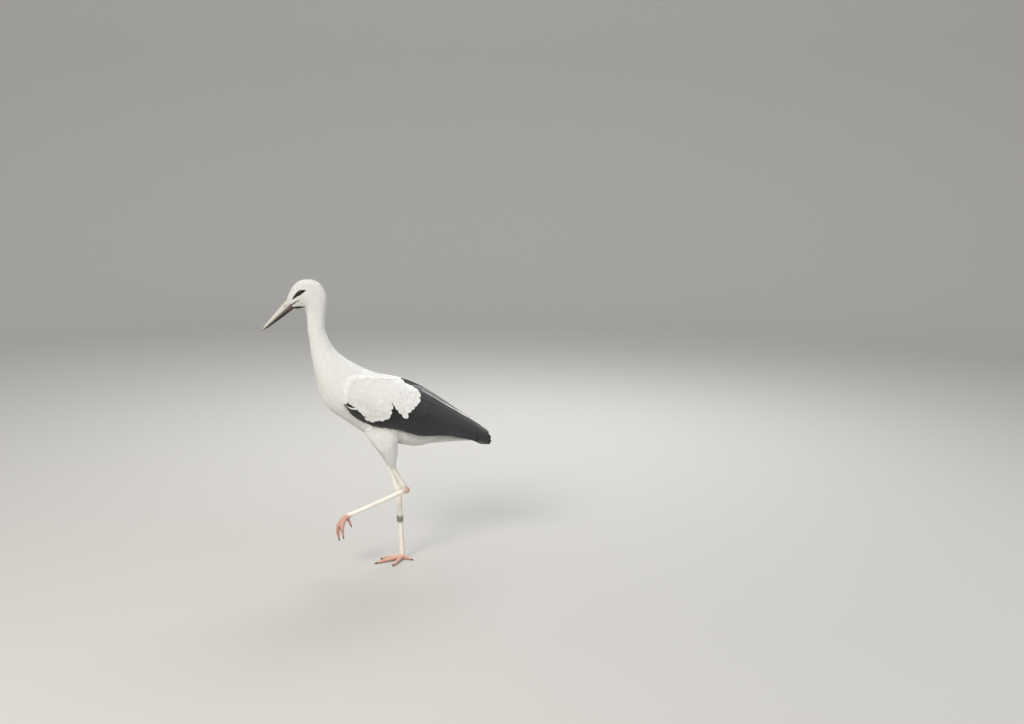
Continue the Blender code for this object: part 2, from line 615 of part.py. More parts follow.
def right_leg():
    """The standing leg, with its toes spread on the floor."""
    return Leg(
        label="right", y=RIGHT_LEG_Y,
        shank=shank_stations((-0.0125, 0.250), (-0.285, 0.9585), 0.0225, STANDING_SHANK),
        ankle=[
            LegStation(-0.0120, 0.2550, 0.0125, 0.0120, 0.0098),
            LegStation(-0.0104, 0.2450, 0.0122, 0.0140, 0.0102),
            LegStation(-0.0093, 0.2350, 0.0100, 0.0125, 0.0094),
        ],
        tarsus=[
            LegStation(-0.0086, 0.2250, 0.0090, 0.0098, 0.0082),
            LegStation(-0.0078, 0.2100, 0.0084, 0.0086, 0.0074),
            LegStation(-0.0057, 0.1720, 0.0078, 0.0078, 0.0066),
            LegStation(-0.0035, 0.1200, 0.0074, 0.0074, 0.0064),
            LegStation(-0.0015, 0.0600, 0.0074, 0.0077, 0.0066),
            LegStation(-0.0005, 0.0300, 0.0082, 0.0087, 0.0080),
            LegStation(0.0000, 0.0180, 0.0090, 0.0094, 0.0088),
        ],
        hub=[
            LegStation(0.0000, 0.0110, 0.0096, 0.0096, 0.0094),
            LegStation(0.0000, 0.0050, 0.0096, 0.0096, 0.0094),
            LegStation(0.0000, 0.0000, 0.0084, 0.0084, 0.0082),
        ],
        toes={
            "toe_inner": on_sole([(0.000, -0.001), (-0.012, -0.018), (-0.026, -0.038),
                                  (-0.038, -0.055), (-0.045, -0.064)],
                                 [0.0088, 0.0074, 0.0067, 0.0060, 0.0040]),
            "toe_middle": on_sole([(-0.001, 0.000), (-0.024, -0.006), (-0.050, -0.013),
                                   (-0.077, -0.020), (-0.096, -0.025)],
                                  [0.0092, 0.0078, 0.0071, 0.0062, 0.0042]),
            "toe_outer": on_sole([(0.000, 0.001), (-0.019, 0.007), (-0.038, 0.011),
                                  (-0.056, 0.013), (-0.068, 0.014)],
                                 [0.0088, 0.0073, 0.0066, 0.0058, 0.0040]),
            "toe_hind": on_sole([(0.001, -0.001), (0.011, -0.009), (0.020, -0.018), (0.027, -0.026)],
                                [0.0088, 0.0070, 0.0057, 0.0040]),
        },
    )


def make_leg_ring(metal):
    """A plain closed band round the standing tarsus, turned from a square profile."""
    bm = bmesh.new()
    low, high = RING_MIDDLE_Z - RING_HEIGHT / 2, RING_MIDDLE_Z + RING_HEIGHT / 2
    profile = [(RING_INNER_RADIUS, low), (RING_OUTER_RADIUS, low),
               (RING_OUTER_RADIUS, high), (RING_INNER_RADIUS, high)]
    verts = [bm.verts.new((radius, 0, z)) for radius, z in profile]
    edges = [bm.edges.new((verts[k], verts[(k + 1) % len(verts)])) for k in range(len(verts))]
    bmesh.ops.spin(bm, geom=verts + edges, cent=(0, 0, 0), axis=(0, 0, 1), angle=2 * math.pi, steps=20)
    bmesh.ops.remove_doubles(bm, verts=bm.verts, dist=1e-6)
    bmesh.ops.translate(bm, vec=(RING_MIDDLE_X, RIGHT_LEG_Y, 0), verts=bm.verts)
    bmesh.ops.recalc_face_normals(bm, faces=bm.faces)
    add_object("leg_ring", bm, metal)


def main():
    for obj in list(bpy.data.objects):
        bpy.data.objects.remove(obj)
    white = make_material("white_feathers", (0.80, 0.79, 0.75), 0.75)
    black = make_material("black_flight_feathers", (0.018, 0.018, 0.020), 0.50)
    horn = make_material("bill_horn", (0.10, 0.075, 0.06), 0.40)
    claw_horn = make_material("claw_horn", (0.05, 0.04, 0.035), 0.45)
    leg_skin = make_material("leg_skin", (0.62, 0.52, 0.44), 0.65)
    foot_skin = make_material("foot_skin", (0.55, 0.26, 0.19), 0.60)
    eye = make_material("eye", (0.02, 0.015, 0.012), 0.10)
    metal = make_material("ring_metal", (0.35, 0.37, 0.35), 0.45, 0.6)

    trunk_cutter = make_trunk_cutter()
    make_head(white)
    make_bill(horn)
    for side, label in ((-1, "left"), (1, "right")):
        ball(f"eye_{label}", eye_centre(side), EYE_RADIUS, eye)
    loft("neck", body_rings(BODY, NECK_FROM, TRUNK_FROM, 10, 22), white)
    loft("trunk", body_rings(BODY, TRUNK_FROM, len(BODY) - 1, 21, 24), white)
    loft("tail", body_rings(TAIL, 0, len(TAIL) - 1, 8, 16), white)
    for side, label in ((-1, "left"), (1, "right")):
        make_wing(side, label, trunk_cutter, white, black)
    for leg in (left_leg(), right_leg()):
        hub = make_leg(leg, trunk_cutter, white, leg_skin)
        make_foot(leg, hub, foot_skin, claw_horn)
    make_leg_ring(metal)


main()
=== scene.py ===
"""The looks of a life-size white stork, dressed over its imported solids.

One skin takes the place of the head, neck, trunk, tail, legs and feet, sunk by the depth of the
coat. Small feathers are scattered over it by Geometry Nodes, the feathers of the wings and the tail
are laid one by one, and bill, eyes, claws and leg band are pieces of their own. Metres, +Z up. The
bird faces -X and its left side is -Y.
"""

import json
import logging
import math
from collections.abc import Callable, Sequence
from dataclasses import dataclass, field
from enum import Enum

import bmesh
import bpy
import numpy as np
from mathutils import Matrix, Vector
from mathutils.bvhtree import BVHTree

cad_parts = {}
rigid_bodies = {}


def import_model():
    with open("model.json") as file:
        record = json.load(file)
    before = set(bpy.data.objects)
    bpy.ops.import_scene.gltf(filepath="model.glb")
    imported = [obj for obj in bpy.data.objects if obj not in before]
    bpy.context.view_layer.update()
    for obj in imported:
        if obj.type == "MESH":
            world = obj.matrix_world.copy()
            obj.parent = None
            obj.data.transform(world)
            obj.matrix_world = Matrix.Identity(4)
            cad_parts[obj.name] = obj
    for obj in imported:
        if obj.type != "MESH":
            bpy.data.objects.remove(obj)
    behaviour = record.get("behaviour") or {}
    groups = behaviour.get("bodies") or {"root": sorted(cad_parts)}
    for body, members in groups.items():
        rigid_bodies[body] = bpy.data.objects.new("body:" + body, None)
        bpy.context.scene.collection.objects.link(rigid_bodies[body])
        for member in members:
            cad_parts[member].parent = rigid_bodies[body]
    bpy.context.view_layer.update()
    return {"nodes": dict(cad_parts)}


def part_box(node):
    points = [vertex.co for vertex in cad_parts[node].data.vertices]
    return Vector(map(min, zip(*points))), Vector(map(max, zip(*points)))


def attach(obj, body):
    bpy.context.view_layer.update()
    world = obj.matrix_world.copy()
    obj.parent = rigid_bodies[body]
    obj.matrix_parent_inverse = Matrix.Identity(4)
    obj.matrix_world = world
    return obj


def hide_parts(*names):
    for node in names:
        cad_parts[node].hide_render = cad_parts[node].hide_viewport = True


LOG = logging.getLogger("stork")
MM = 0.001
MID_Y = -0.024          # the bird's plane of symmetry
SPINE_STEPS = 12        # places read on each part of SPINE
FACE_BEHIND, FACE_BELOW = -0.318, 0.885     # where the bare face ends, in x and z
ANKLE_KNOBS = (np.array([0.0065, -0.052, 0.264]), np.array([-0.010, 0.0, 0.245]))   # left and right
BAKE_PATCH = 0.003      # side of one feather's patch on the unwrap

# The middle line of the bird in side view (x, z): each number along it is a place that has a name.
SPINE = [
    (-0.3645, 0.914), (-0.336, 0.940), (-0.3035, 0.9425), (-0.282, 0.9175),   # bill root, eyes, crown, nape
    (-0.279, 0.8675), (-0.2785, 0.809), (-0.264, 0.7525), (-0.2355, 0.6945),  # neck, from its top to its foot
    (-0.193, 0.637), (-0.1285, 0.5945), (-0.053, 0.5505), (0.028, 0.507),     # breast, shoulders, back, loin
    (0.092, 0.4645), (0.1485, 0.440), (0.2255, 0.427), (0.2635, 0.4225),      # vent and tail
]
HEAD_ENDS, NECK_ENDS = 3.4, 7.3     # along SPINE
COAT_DEPTH = [(0, 0.5), (0.6, 0.8), (1.5, 1.2), (3, 1.7), (5, 2.4), (7, 3.6), (9, 4.6), (11, 4.4),
              (12.5, 3.6), (13.5, 2.4), (15, 1.6)]     # along SPINE, mm
COAT_LENGTH = [(0, 4.5), (0.7, 6), (1.5, 9.0), (3, 14), (5, 24), (7, 36), (9, 42), (11, 36), (13, 32),
               (15, 28)]                               # along SPINE, mm
FLESH = ["head", "neck", "trunk", "tail", "shank_left", "shank_right", "tarsus_left", "tarsus_right",
         "foot_left", "foot_right"]
WINGS = {"left": ["wing_coverts_left", "flight_feathers_left"],
         "right": ["wing_coverts_right", "flight_feathers_right"]}
SIDES = {"left": -1, "right": 1}


# ---- Small tools ---------------------------------------------------------------------------------------
def linear(colour: str) -> tuple[float, float, float, float]:
    """Turns an sRGB hex colour to linear.

    Args:
        colour: "#RRGGBB".

    Returns:
        Linear red, green, blue and an alpha of 1.
    """
    parts = [int(colour[k:k + 2], 16) / 255 for k in (1, 3, 5)]
    red, green, blue = (c / 12.92 if c <= 0.04045 else ((c + 0.055) / 1.055) ** 2.4 for c in parts)
    return red, green, blue, 1.0


def along(rows: Sequence[tuple[float, float]], t: np.ndarray | float) -> np.ndarray | float:
    """Reads a table of (place, value) rows at t, with straight lines between rows."""
    return np.interp(t, [row[0] for row in rows], [row[1] for row in rows])


def unit(vectors: np.ndarray) -> np.ndarray:
    """Rows of vectors at length 1."""
    return vectors / np.maximum(np.linalg.norm(vectors, axis=-1, keepdims=True), 1e-12)


def ramp(x: np.ndarray, low: float, high: float) -> np.ndarray:
    """A smooth step from 0 at low to 1 at high, in either order."""
    t = np.clip((x - low) / (high - low), 0, 1)
    return t * t * (3 - 2 * t)


def segment_distance(points: np.ndarray, line: Sequence[tuple[float, float]]) -> np.ndarray:
    """The least distance from points (n, 2) to a line of points."""
    least = np.full(len(points), np.inf)
    for a, b in zip(line, line[1:]):
        a, b = np.array(a), np.array(b)
        t = np.clip((points - a) @ (b - a) / ((b - a) @ (b - a)), 0, 1)
        least = np.minimum(least, np.linalg.norm(points - a - t[:, None] * (b - a), axis=1))
    return least


def stroke_distance(points: np.ndarray, stroke: Sequence[tuple[float, float, float]]) -> np.ndarray:
    """The distance from points (n, 2) to the edge of a stroke of changing width, negative inside it."""
    least = np.full(len(points), np.inf)
    for (ax, az, wide_a), (bx, bz, wide_b) in zip(stroke, stroke[1:]):
        a, b = np.array([ax, az]), np.array([bx, bz])
        t = np.clip((points - a) @ (b - a) / ((b - a) @ (b - a)), 0, 1)
        gap = np.linalg.norm(points - a - t[:, None] * (b - a), axis=1)
        least = np.minimum(least, gap - wide_a - (wide_b - wide_a) * t)
    return least


def feed(tree: bpy.types.NodeTree, socket: bpy.types.NodeSocket, value: object) -> None:
    """Gives an input its value, or links it when the value is another node's output.

    Args:
        tree: the tree of both.
        socket: the input.
        value: a value or an output socket.
    """
    if isinstance(value, bpy.types.NodeSocket):
        tree.links.new(value, socket)
    else:
        socket.default_value = value


def add_node(tree: bpy.types.NodeTree, kind: str, inputs: dict | None = None,
             **settings: object) -> bpy.types.Node:
    """Adds a node, sets its properties, and fills or links its inputs.

    Args:
        tree: the tree it goes into.
        kind: Blender's name for the node.
        inputs: socket name or number to a value, or to the output socket that feeds it.
        settings: the node's own properties.

    Returns:
        The node.
    """
    node = tree.nodes.new(kind)
    for name, value in settings.items():
        setattr(node, name, value)
    for key, value in (inputs or {}).items():
        feed(tree, node.inputs[key], value)
    return node


@dataclass(frozen=True)
class Weaver:
    """Adds the nodes that finishes and coats use most to one tree. Each method returns an output."""
    tree: bpy.types.NodeTree

    def math(self, operation: str, *values: object, clamp: bool = False) -> bpy.types.NodeSocket:
        """A sum on one to three numbers or sockets."""
        return add_node(self.tree, "ShaderNodeMath", dict(enumerate(values)), operation=operation,
                        use_clamp=clamp).outputs[0]

    def vector(self, operation: str, inputs: dict) -> bpy.types.NodeSocket:
        """A sum on vectors."""
        return add_node(self.tree, "ShaderNodeVectorMath", inputs, operation=operation).outputs[0]

    def spread(self, *values: object) -> bpy.types.NodeSocket:
        """Maps the first value from the next two limits to the last two, and clamps it."""
        return add_node(self.tree, "ShaderNodeMapRange", dict(enumerate(values)), clamp=True).outputs[0]

    def mix(self, factor: object, low: object, high: object) -> bpy.types.NodeSocket:
        """Mixes two colours, each a hex colour or a socket."""
        low, high = (linear(colour) if isinstance(colour, str) else colour for colour in (low, high))
        return add_node(self.tree, "ShaderNodeMix", {"Factor": factor, "A": low, "B": high},
                        data_type="RGBA").outputs["Result"]

    def read(self, name: str) -> bpy.types.NodeSocket:
        """A number stored on the mesh."""
        return add_node(self.tree, "ShaderNodeAttribute", attribute_name=name).outputs["Fac"]

    def place(self) -> bpy.types.NodeSocket:
        """The place in the object's own space."""
        return add_node(self.tree, "ShaderNodeTexCoord").outputs["Object"]

    def noise(self, size: float, detail: float, roughness: float = 0.5) -> bpy.types.NodeSocket:
        """Noise whose patches have one size, in metres."""
        return add_node(self.tree, "ShaderNodeTexNoise", {"Vector": self.place(), "Scale": 1 / size,
                                                          "Detail": detail, "Roughness": roughness}).outputs["Fac"]

    def bump(self, height: object, strength: float, distance: float) -> bpy.types.NodeSocket:
        """Relief from a height."""
        return add_node(self.tree, "ShaderNodeBump", {"Height": height, "Strength": strength,
                                                      "Distance": distance}).outputs[0]

    def bands(self, value: object, stops: Sequence[tuple[float, str]]) -> bpy.types.NodeSocket:
        """Colours along a value, from stops of (place, hex colour)."""
        node = add_node(self.tree, "ShaderNodeValToRGB", {0: value})
        for position, _ in stops[1:-1]:
            node.color_ramp.elements.new(position)
        for element, (position, colour) in zip(node.color_ramp.elements, stops):
            element.position, element.color = position, linear(colour)
        return node.outputs["Color"]

    def named(self, name: str, kind: str = "FLOAT_VECTOR") -> bpy.types.NodeSocket:
        """An attribute of the geometry, for a Geometry Nodes tree."""
        return add_node(self.tree, "GeometryNodeInputNamedAttribute", {"Name": name},
                        data_type=kind).outputs["Attribute"]

    def random(self, low: object, high: object, seed: int, kind: str = "FLOAT") -> bpy.types.NodeSocket:
        """A random number for each point, between two limits."""
        node = add_node(self.tree, "FunctionNodeRandomValue", {"Seed": seed}, data_type=kind)
        limits = [socket for socket in node.inputs if socket.enabled and socket.name in ("Min", "Max")]
        for socket, value in zip(limits, (low, high)):
            feed(self.tree, socket, value)
        return [socket for socket in node.outputs if socket.enabled][0]

    def store(self, geometry: object, name: str, value: object, kind: str = "FLOAT",
              domain: str = "POINT") -> bpy.types.NodeSocket:
        """Stores a value on the geometry under a name."""
        return add_node(self.tree, "GeometryNodeStoreNamedAttribute",
                        {"Geometry": geometry, "Name": name, "Value": value},
                        data_type=kind, domain=domain).outputs[0]


def new_mesh(name: str, points: np.ndarray, faces: Sequence[Sequence[int]]) -> bpy.types.Mesh:
    """A mesh from points and faces, shaded smooth."""
    mesh = bpy.data.meshes.new(name)
    mesh.from_pydata(np.asarray(points, float).tolist(), [], [list(map(int, f)) for f in faces])
    mesh.shade_smooth()
    return mesh


def new_object(name: str, mesh: bpy.types.Mesh) -> bpy.types.Object:
    """An object at the origin that shows the mesh."""
    obj = bpy.data.objects.new(name, mesh)
    bpy.context.scene.collection.objects.link(obj)
    return obj


def write_attribute(mesh: bpy.types.Mesh, name: str, values: np.ndarray) -> None:
    """Stores one number or one vector for each vertex."""
    vector = values.ndim == 2
    attribute = mesh.attributes.new(name, "FLOAT_VECTOR" if vector else "FLOAT", "POINT")
    attribute.data.foreach_set("vector" if vector else "value", np.ascontiguousarray(values, np.float32).ravel())


def points_of(mesh: bpy.types.Mesh) -> np.ndarray:
    """The mesh's vertices (n, 3)."""
    flat = np.empty(len(mesh.vertices) * 3, np.float32)
    mesh.vertices.foreach_get("co", flat)
    return flat.reshape(-1, 3).astype(float)


def normals_of(mesh: bpy.types.Mesh) -> np.ndarray:
    """The mesh's vertex normals (n, 3)."""
    flat = np.empty(len(mesh.vertices) * 3, np.float32)
    mesh.vertex_normals.foreach_get("vector", flat)
    return flat.reshape(-1, 3).astype(float)


def corners_of(mesh: bpy.types.Mesh) -> np.ndarray:
    """The vertex at each corner of the mesh's faces."""
    found = np.empty(len(mesh.loops), np.int32)
    mesh.loops.foreach_get("vertex_index", found)
    return found


def move(mesh: bpy.types.Mesh, points: np.ndarray) -> None:
    """Moves the mesh's vertices to points (n, 3)."""
    mesh.vertices.foreach_set("co", points.astype(np.float32).ravel())


def read_attribute(mesh: bpy.types.Mesh, name: str) -> np.ndarray:
    """The numbers stored per vertex under a name."""
    values = np.empty(len(mesh.vertices), np.float32)
    mesh.attributes[name].data.foreach_get("value", values)
    return values.astype(float)


def store_root_map(mesh: bpy.types.Mesh) -> None:
    """Turns the unwrap into an attribute that each feather's or scale's root keeps."""
    layer = mesh.uv_layers["unwrap"]
    flat = np.empty(len(mesh.loops) * 2, np.float32)
    layer.data.foreach_get("uv", flat)
    whole = np.zeros((len(mesh.loops), 3), np.float32)
    whole[:, :2] = flat.reshape(-1, 2)
    mesh.uv_layers.remove(layer)
    mesh.attributes.new("root_map", "FLOAT_VECTOR", "CORNER").data.foreach_set("vector", whole.ravel())


def evaluated_mesh(obj: bpy.types.Object) -> bpy.types.Mesh:
    """The object's mesh with its modifiers applied, as a mesh of its own."""
    graph = bpy.context.evaluated_depsgraph_get()
    graph.update()
    return bpy.data.meshes.new_from_object(obj.evaluated_get(graph), preserve_all_data_layers=True, depsgraph=graph)


def merged(nodes: dict, names: Sequence[str], grow: float = 0.0) -> bpy.types.Mesh:
    """One mesh of CAD nodes with their loose triangles merged, each grown along its normals."""
    joined = bmesh.new()
    for name in names:
        piece = bmesh.new()
        piece.from_mesh(nodes[name].data)
        bmesh.ops.remove_doubles(piece, verts=piece.verts, dist=1e-5)
        piece.normal_update()
        for vert in piece.verts:
            vert.co += vert.normal * grow
        part = bpy.data.meshes.new("part")
        piece.to_mesh(part)
        joined.from_mesh(part)
        piece.free()
        bpy.data.meshes.remove(part)
    mesh = bpy.data.meshes.new("merged")
    joined.to_mesh(mesh)
    joined.free()
    return mesh


def remeshed(nodes: dict, names: Sequence[str], voxel: float, smoothing: int) -> bpy.types.Mesh:
    """One even, closed mesh round several CAD nodes, which closes the gaps between them."""
    obj = new_object("remesh_source", merged(nodes, names, grow=0.35 * MM))
    remesh = obj.modifiers.new("remesh", "REMESH")
    remesh.mode, remesh.voxel_size = "VOXEL", voxel
    smooth = obj.modifiers.new("smooth", "SMOOTH")
    smooth.factor, smooth.iterations = 0.5, smoothing
    mesh = evaluated_mesh(obj)
    source = obj.data
    bpy.data.objects.remove(obj)
    bpy.data.meshes.remove(source)
    mesh.shade_smooth()
    return mesh


def distances(points: np.ndarray, tree: BVHTree) -> np.ndarray:
    """The distance from each point to the nearest face of a tree."""
    return np.array([tree.find_nearest(p)[3] for p in points])


def tree_of(nodes: dict, names: Sequence[str]) -> BVHTree:
    """A search tree of CAD nodes."""
    mesh = merged(nodes, names)
    tree = BVHTree.FromPolygons([v.co.copy() for v in mesh.vertices], [tuple(p.vertices) for p in mesh.polygons])
    bpy.data.meshes.remove(mesh)
    return tree


def hand_over(obj: bpy.types.Object, replaced: Sequence[str]) -> bpy.types.Object:
    """Rides a finished piece on the bird and the nodes it stands for, and logs it."""
    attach(obj, "root")
    if replaced:
        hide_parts(*replaced)
    LOG.info("%s: %d triangles", obj.name, len(obj.data.loops) - 2 * len(obj.data.polygons))
    return obj


# ---- Finishes ------------------------------------------------------------------------------------------
def new_material(name: str, finish: Callable[[Weaver], dict[str, object]]) -> bpy.types.Material:
    """A material with one Principled shader.

    Args:
        name: its name.
        finish: adds the finish's nodes, and returns what each of the shader's inputs gets.

    Returns:
        The material.
    """
    material = bpy.data.materials.new(name)
    material.use_nodes = True
    tree = material.node_tree
    tree.nodes.clear()
    shader = add_node(tree, "ShaderNodeBsdfPrincipled")
    add_node(tree, "ShaderNodeOutputMaterial", {"Surface": shader.outputs[0]})
    for key, value in finish(Weaver(tree)).items():
        feed(tree, shader.inputs[key], value)
    return material


@dataclass(frozen=True)
class Plumage:
    """Feather vanes: keratin barbs side by side, matte, with a soft sheen where light grazes them."""
    name: str
    colour: str
    shade: str            # towards the root and in the duller feathers
    shaft: str
    roughness: float
    sheen: float
    barbs: float          # pairs of barbs along a vane, drawn coarser than the real 0.4 mm so that they show
    relief: float         # how deep the barbs look, m
    shaft_width: float    # as a share of the vane's width
    glow: float = 0.0     # how much light passes through and spreads

    def build(self) -> bpy.types.Material:
        """Builds the material, which reads the vane's own map and its tint."""
        return new_material(self.name, self.finish)

    def finish(self, weave: Weaver) -> dict[str, object]:
        """Barbs that sweep from the shaft, duller towards the root, for the shader's inputs."""
        vane = add_node(weave.tree, "ShaderNodeUVMap", uv_map="vane").outputs[0]
        across, along_vane, _ = add_node(weave.tree, "ShaderNodeSeparateXYZ", {0: vane}).outputs
        off = weave.math("ABSOLUTE", weave.math("SUBTRACT", across, 0.5))
        swept = weave.math("MULTIPLY_ADD", off, -0.35, along_vane)
        place = add_node(weave.tree, "ShaderNodeCombineXYZ", {0: swept, 1: off}).outputs[0]
        barbs = add_node(weave.tree, "ShaderNodeTexWave",
                         {"Vector": place, "Scale": self.barbs / 6.283, "Distortion": 1.2, "Detail": 2.0,
                          "Detail Scale": 3.0}, bands_direction="X").outputs["Fac"]
        rooted = weave.spread(along_vane, 0.0, 0.7, 0.75, 0.0)
        dull = weave.math("MULTIPLY_ADD", weave.read("tint"), 0.55, rooted, clamp=True)
        on_shaft = weave.spread(off, self.shaft_width * 0.5, self.shaft_width, 0.8, 0.0)
        colour = weave.mix(on_shaft, weave.mix(dull, self.colour, self.shade), self.shaft)
        return {"Base Color": colour, "Normal": weave.bump(barbs, 0.6, self.relief), "Roughness": self.roughness,
                "Sheen Weight": self.sheen, "Sheen Roughness": 0.5, "Subsurface Weight": self.glow,
                "Subsurface Radius": (1.0, 0.95, 0.85), "Subsurface Scale": 3 * MM, "Specular IOR Level": 0.35}


@dataclass(frozen=True)
class BirdSkin:
    """Bare skin: a white under the coat greyed with painted shade, black round the eye, and on the legs a scaly reddish
    hide.

    Storks wet their legs to keep cool, which leaves a chalky, matte crust over the scales. The legs' backward sides are
    darkened with painted shade, and the toes carry a darker staining.
    """
    # Painted shade: greyer than the feathers, for the shade between them where the skin shows.
    down: str = "#DEDAD2"
    # Black skin round the eye, which also paints the shadow at the front of its patch.
    mask: str = "#141110"
    # The gape's dark colour, also used for the painted crease shadow under the cheek.
    gape: str = "#241712"
    chalk: str = "#E8E3D8"
    hide: str = "#C48A76"
    # Painted shade for the legs' backs, and the colour of the toes' staining.
    stain_and_shade: str = "#9A8670"

    def build(self) -> bpy.types.Material:
        """Builds the material from the masks stored on the skin."""
        return new_material("bird_skin", self.finish)

    def finish(self, weave: Weaver) -> dict[str, object]:
        """Chalk over hide on the legs, painted shade on their backs, and black round the eye, for the shader's inputs.
        """
        leg, grain = weave.read("leg"), weave.noise(1.4 * MM, 3.0)
        scales = add_node(weave.tree, "ShaderNodeTexVoronoi", {"Vector": weave.place(), "Scale": 1 / (2.4 * MM)},
                          feature="DISTANCE_TO_EDGE").outputs["Distance"]
        worn = weave.math("MULTIPLY_ADD", weave.noise(9 * MM, 4.0, 0.6), 0.55, -0.27)
        rosy = weave.math("ADD", weave.read("rosy"), worn, clamp=True)
        # Painted shade on the legs' backs, and the toes' staining, mottled by the grain.
        shade_and_stain = weave.math("MULTIPLY", weave.read("stain_and_back_shade"), grain)
        colour = weave.mix(shade_and_stain, weave.mix(rosy, self.chalk, self.hide), self.stain_and_shade)
        colour = weave.mix(leg, self.down, colour)
        colour = weave.mix(weave.read("black_skin_and_shadow"), colour, self.mask)
        colour = weave.mix(weave.read("gape"), colour, self.gape)
        scaly = weave.math("MULTIPLY", weave.spread(scales, 0.0, 0.12, 0.0, 1.0), leg)
        height = weave.math("MULTIPLY_ADD", grain, 0.35, scaly)
        return {"Base Color": colour, "Normal": weave.bump(height, 0.5, 0.35 * MM), "Roughness": 0.72,
                "Specular IOR Level": 0.3}


@dataclass(frozen=True)
class Scute:
    """One scale of a leg or toe: hide with a chalky crust, which fills the seams and wears off the middle, darkened by
    the skin's painted shade on the legs' backs and by the toes' staining.
    """
    name: str
    colour: str
    crust: str
    crusted: float
    hide: str = "#C99A89"
    # Painted shade for the legs' backs, and the colour of the toes' staining.
    stain_and_shade: str = "#A38F78"

    def build(self) -> bpy.types.Material:
        """Builds the material from noise at the size of the crust's patches."""
        return new_material(self.name, self.finish)

    def finish(self, weave: Weaver) -> dict[str, object]:
        """Crust in patches, rosy where the skin is, and darker under painted shade and staining, for the shader's
        inputs.
        """
        patches = weave.noise(6 * MM, 5.0, 0.65)
        crust = weave.math("MULTIPLY_ADD", patches, 1.1, self.crusted - 0.58)
        crust = weave.math("MULTIPLY_ADD", weave.read("tint"), 0.12, crust, clamp=True)
        bare = weave.math("MULTIPLY", weave.read("rosy"), weave.spread(patches, 0.25, 0.75, 0.95, 0.65))
        colour = weave.mix(bare, weave.mix(crust, self.colour, self.crust), self.hide)
        # Painted shade on the legs' backs and the toes' staining, at 0.45 strength.
        colour = weave.mix(weave.math("MULTIPLY", weave.read("stain_and_back_shade"), 0.45), colour, self.stain_and_shade)
        return {"Base Color": colour, "Normal": weave.bump(weave.noise(0.8 * MM, 2.0), 0.4, 0.2 * MM),
                "Roughness": 0.66}


@dataclass(frozen=True)
class BillHorn:
    """Bill sheath of a young bird: smooth dull keratin, ruddy at the gape. The grey over its top and a pale line along
    the lower half are painted light, the black under the lower half is painted shade, and a dark line runs where it
    closes.
    """
    # Painted light: the sunlit top of the horn.
    ridge: str = "#B5B1A8"
    # Painted shade under the lower half; also the dark line where the halves meet, and the nostril.
    edge: str = "#1B1917"
    # Painted highlight along the upper edge of the lower half.
    rim: str = "#9A968C"
    base: str = "#5E3C31"

    def build(self) -> bpy.types.Material:
        """Builds the material from the height across the bill and the way along it."""
        return new_material("bill_keratin", self.finish)

    def finish(self, weave: Weaver) -> dict[str, object]:
        """Bands across the bill, painted light above and painted shade below, ruddy below at its root, for the shader's
        inputs.
        """
        height, streaks = weave.read("bill_height"), weave.noise(5 * MM, 4.0)
        uneven = weave.math("MULTIPLY_ADD", streaks, 0.05, height)
        halved = weave.math("MULTIPLY", weave.math("ADD", uneven, 0.975), 0.5)
        bands = weave.bands(halved, [(0.0, self.edge), (0.405, self.edge), (0.425, self.rim), (0.465, self.rim),
                                     (0.49, self.edge), (0.545, self.edge), (0.61, self.ridge), (1.0, self.ridge)])
        low = weave.spread(height, -0.25, -0.55, 0.0, 1.0)
        near = weave.spread(weave.read("bill_way"), 0.30, 0.08, 0.0, 0.9)
        colour = weave.mix(weave.math("MULTIPLY", low, near), bands, self.base)
        # The nostril slit, painted dark as the shade inside it.
        colour = weave.mix(weave.read("slit"), colour, self.edge)
        return {"Base Color": colour, "Normal": weave.bump(streaks, 0.25, 0.3 * MM), "Roughness": 0.50}


@dataclass(frozen=True)
class Plain:
    """A finish of one colour with fine grain: claw horn, dull band metal or the studio's paper."""
    name: str
    colour: str
    roughness: float
    metallic: float = 0.0
    grain: float = 0.0    # size of its grain, m
    relief: float = 0.0   # m

    def build(self) -> bpy.types.Material:
        """Builds the material."""
        return new_material(self.name, self.finish)

    def finish(self, weave: Weaver) -> dict[str, object]:
        """One colour, with relief where the finish has a grain, for the shader's inputs."""
        values = {"Base Color": linear(self.colour), "Roughness": self.roughness, "Metallic": self.metallic}
        if self.grain:
            values["Normal"] = weave.bump(weave.noise(self.grain, 3.0), 0.5, self.relief)
        return values


@dataclass(frozen=True)
class EyeGlass:
    """A wet eye: black pupil, dark brown iris with fine spokes, and a clear cornea that mirrors the light."""
    iris: str = "#2A1A10"
    rim: str = "#120C09"
    pupil: str = "#020202"

    def build(self) -> bpy.types.Material:
        """Builds the material from the angle off the eye's own axis."""
        return new_material("eye_glass", self.finish)

    def finish(self, weave: Weaver) -> dict[str, object]:
        """Rings round the axis under a clear coat, for the shader's inputs."""
        rings = weave.bands(weave.read("eye_angle"), [(0.0, self.pupil), (0.20, self.pupil), (0.23, self.iris),
                                                      (0.36, self.iris), (0.42, self.rim)])
        return {"Base Color": rings, "Roughness": 0.4, "Specular IOR Level": 0.1, "Coat Weight": 1.0,
                "Coat Roughness": 0.03}


WHITE_VANE = Plumage("white_feather", "#F0EEE9", "#DAD7D0", "#E9E5DC", 0.78, 0.25, 120, 0.05 * MM, 0.012, 0.35)
WHITE_TUFT = Plumage("white_down_feather", "#F8F7F3", "#E8E6E0", "#F3F0EA", 0.82, 0.25, 16, 0.06 * MM, 0.02, 0.35)
BLACK_VANE = Plumage("black_feather", "#222427", "#151617", "#0C0C0D", 0.52, 0.30, 150, 0.07 * MM, 0.012)


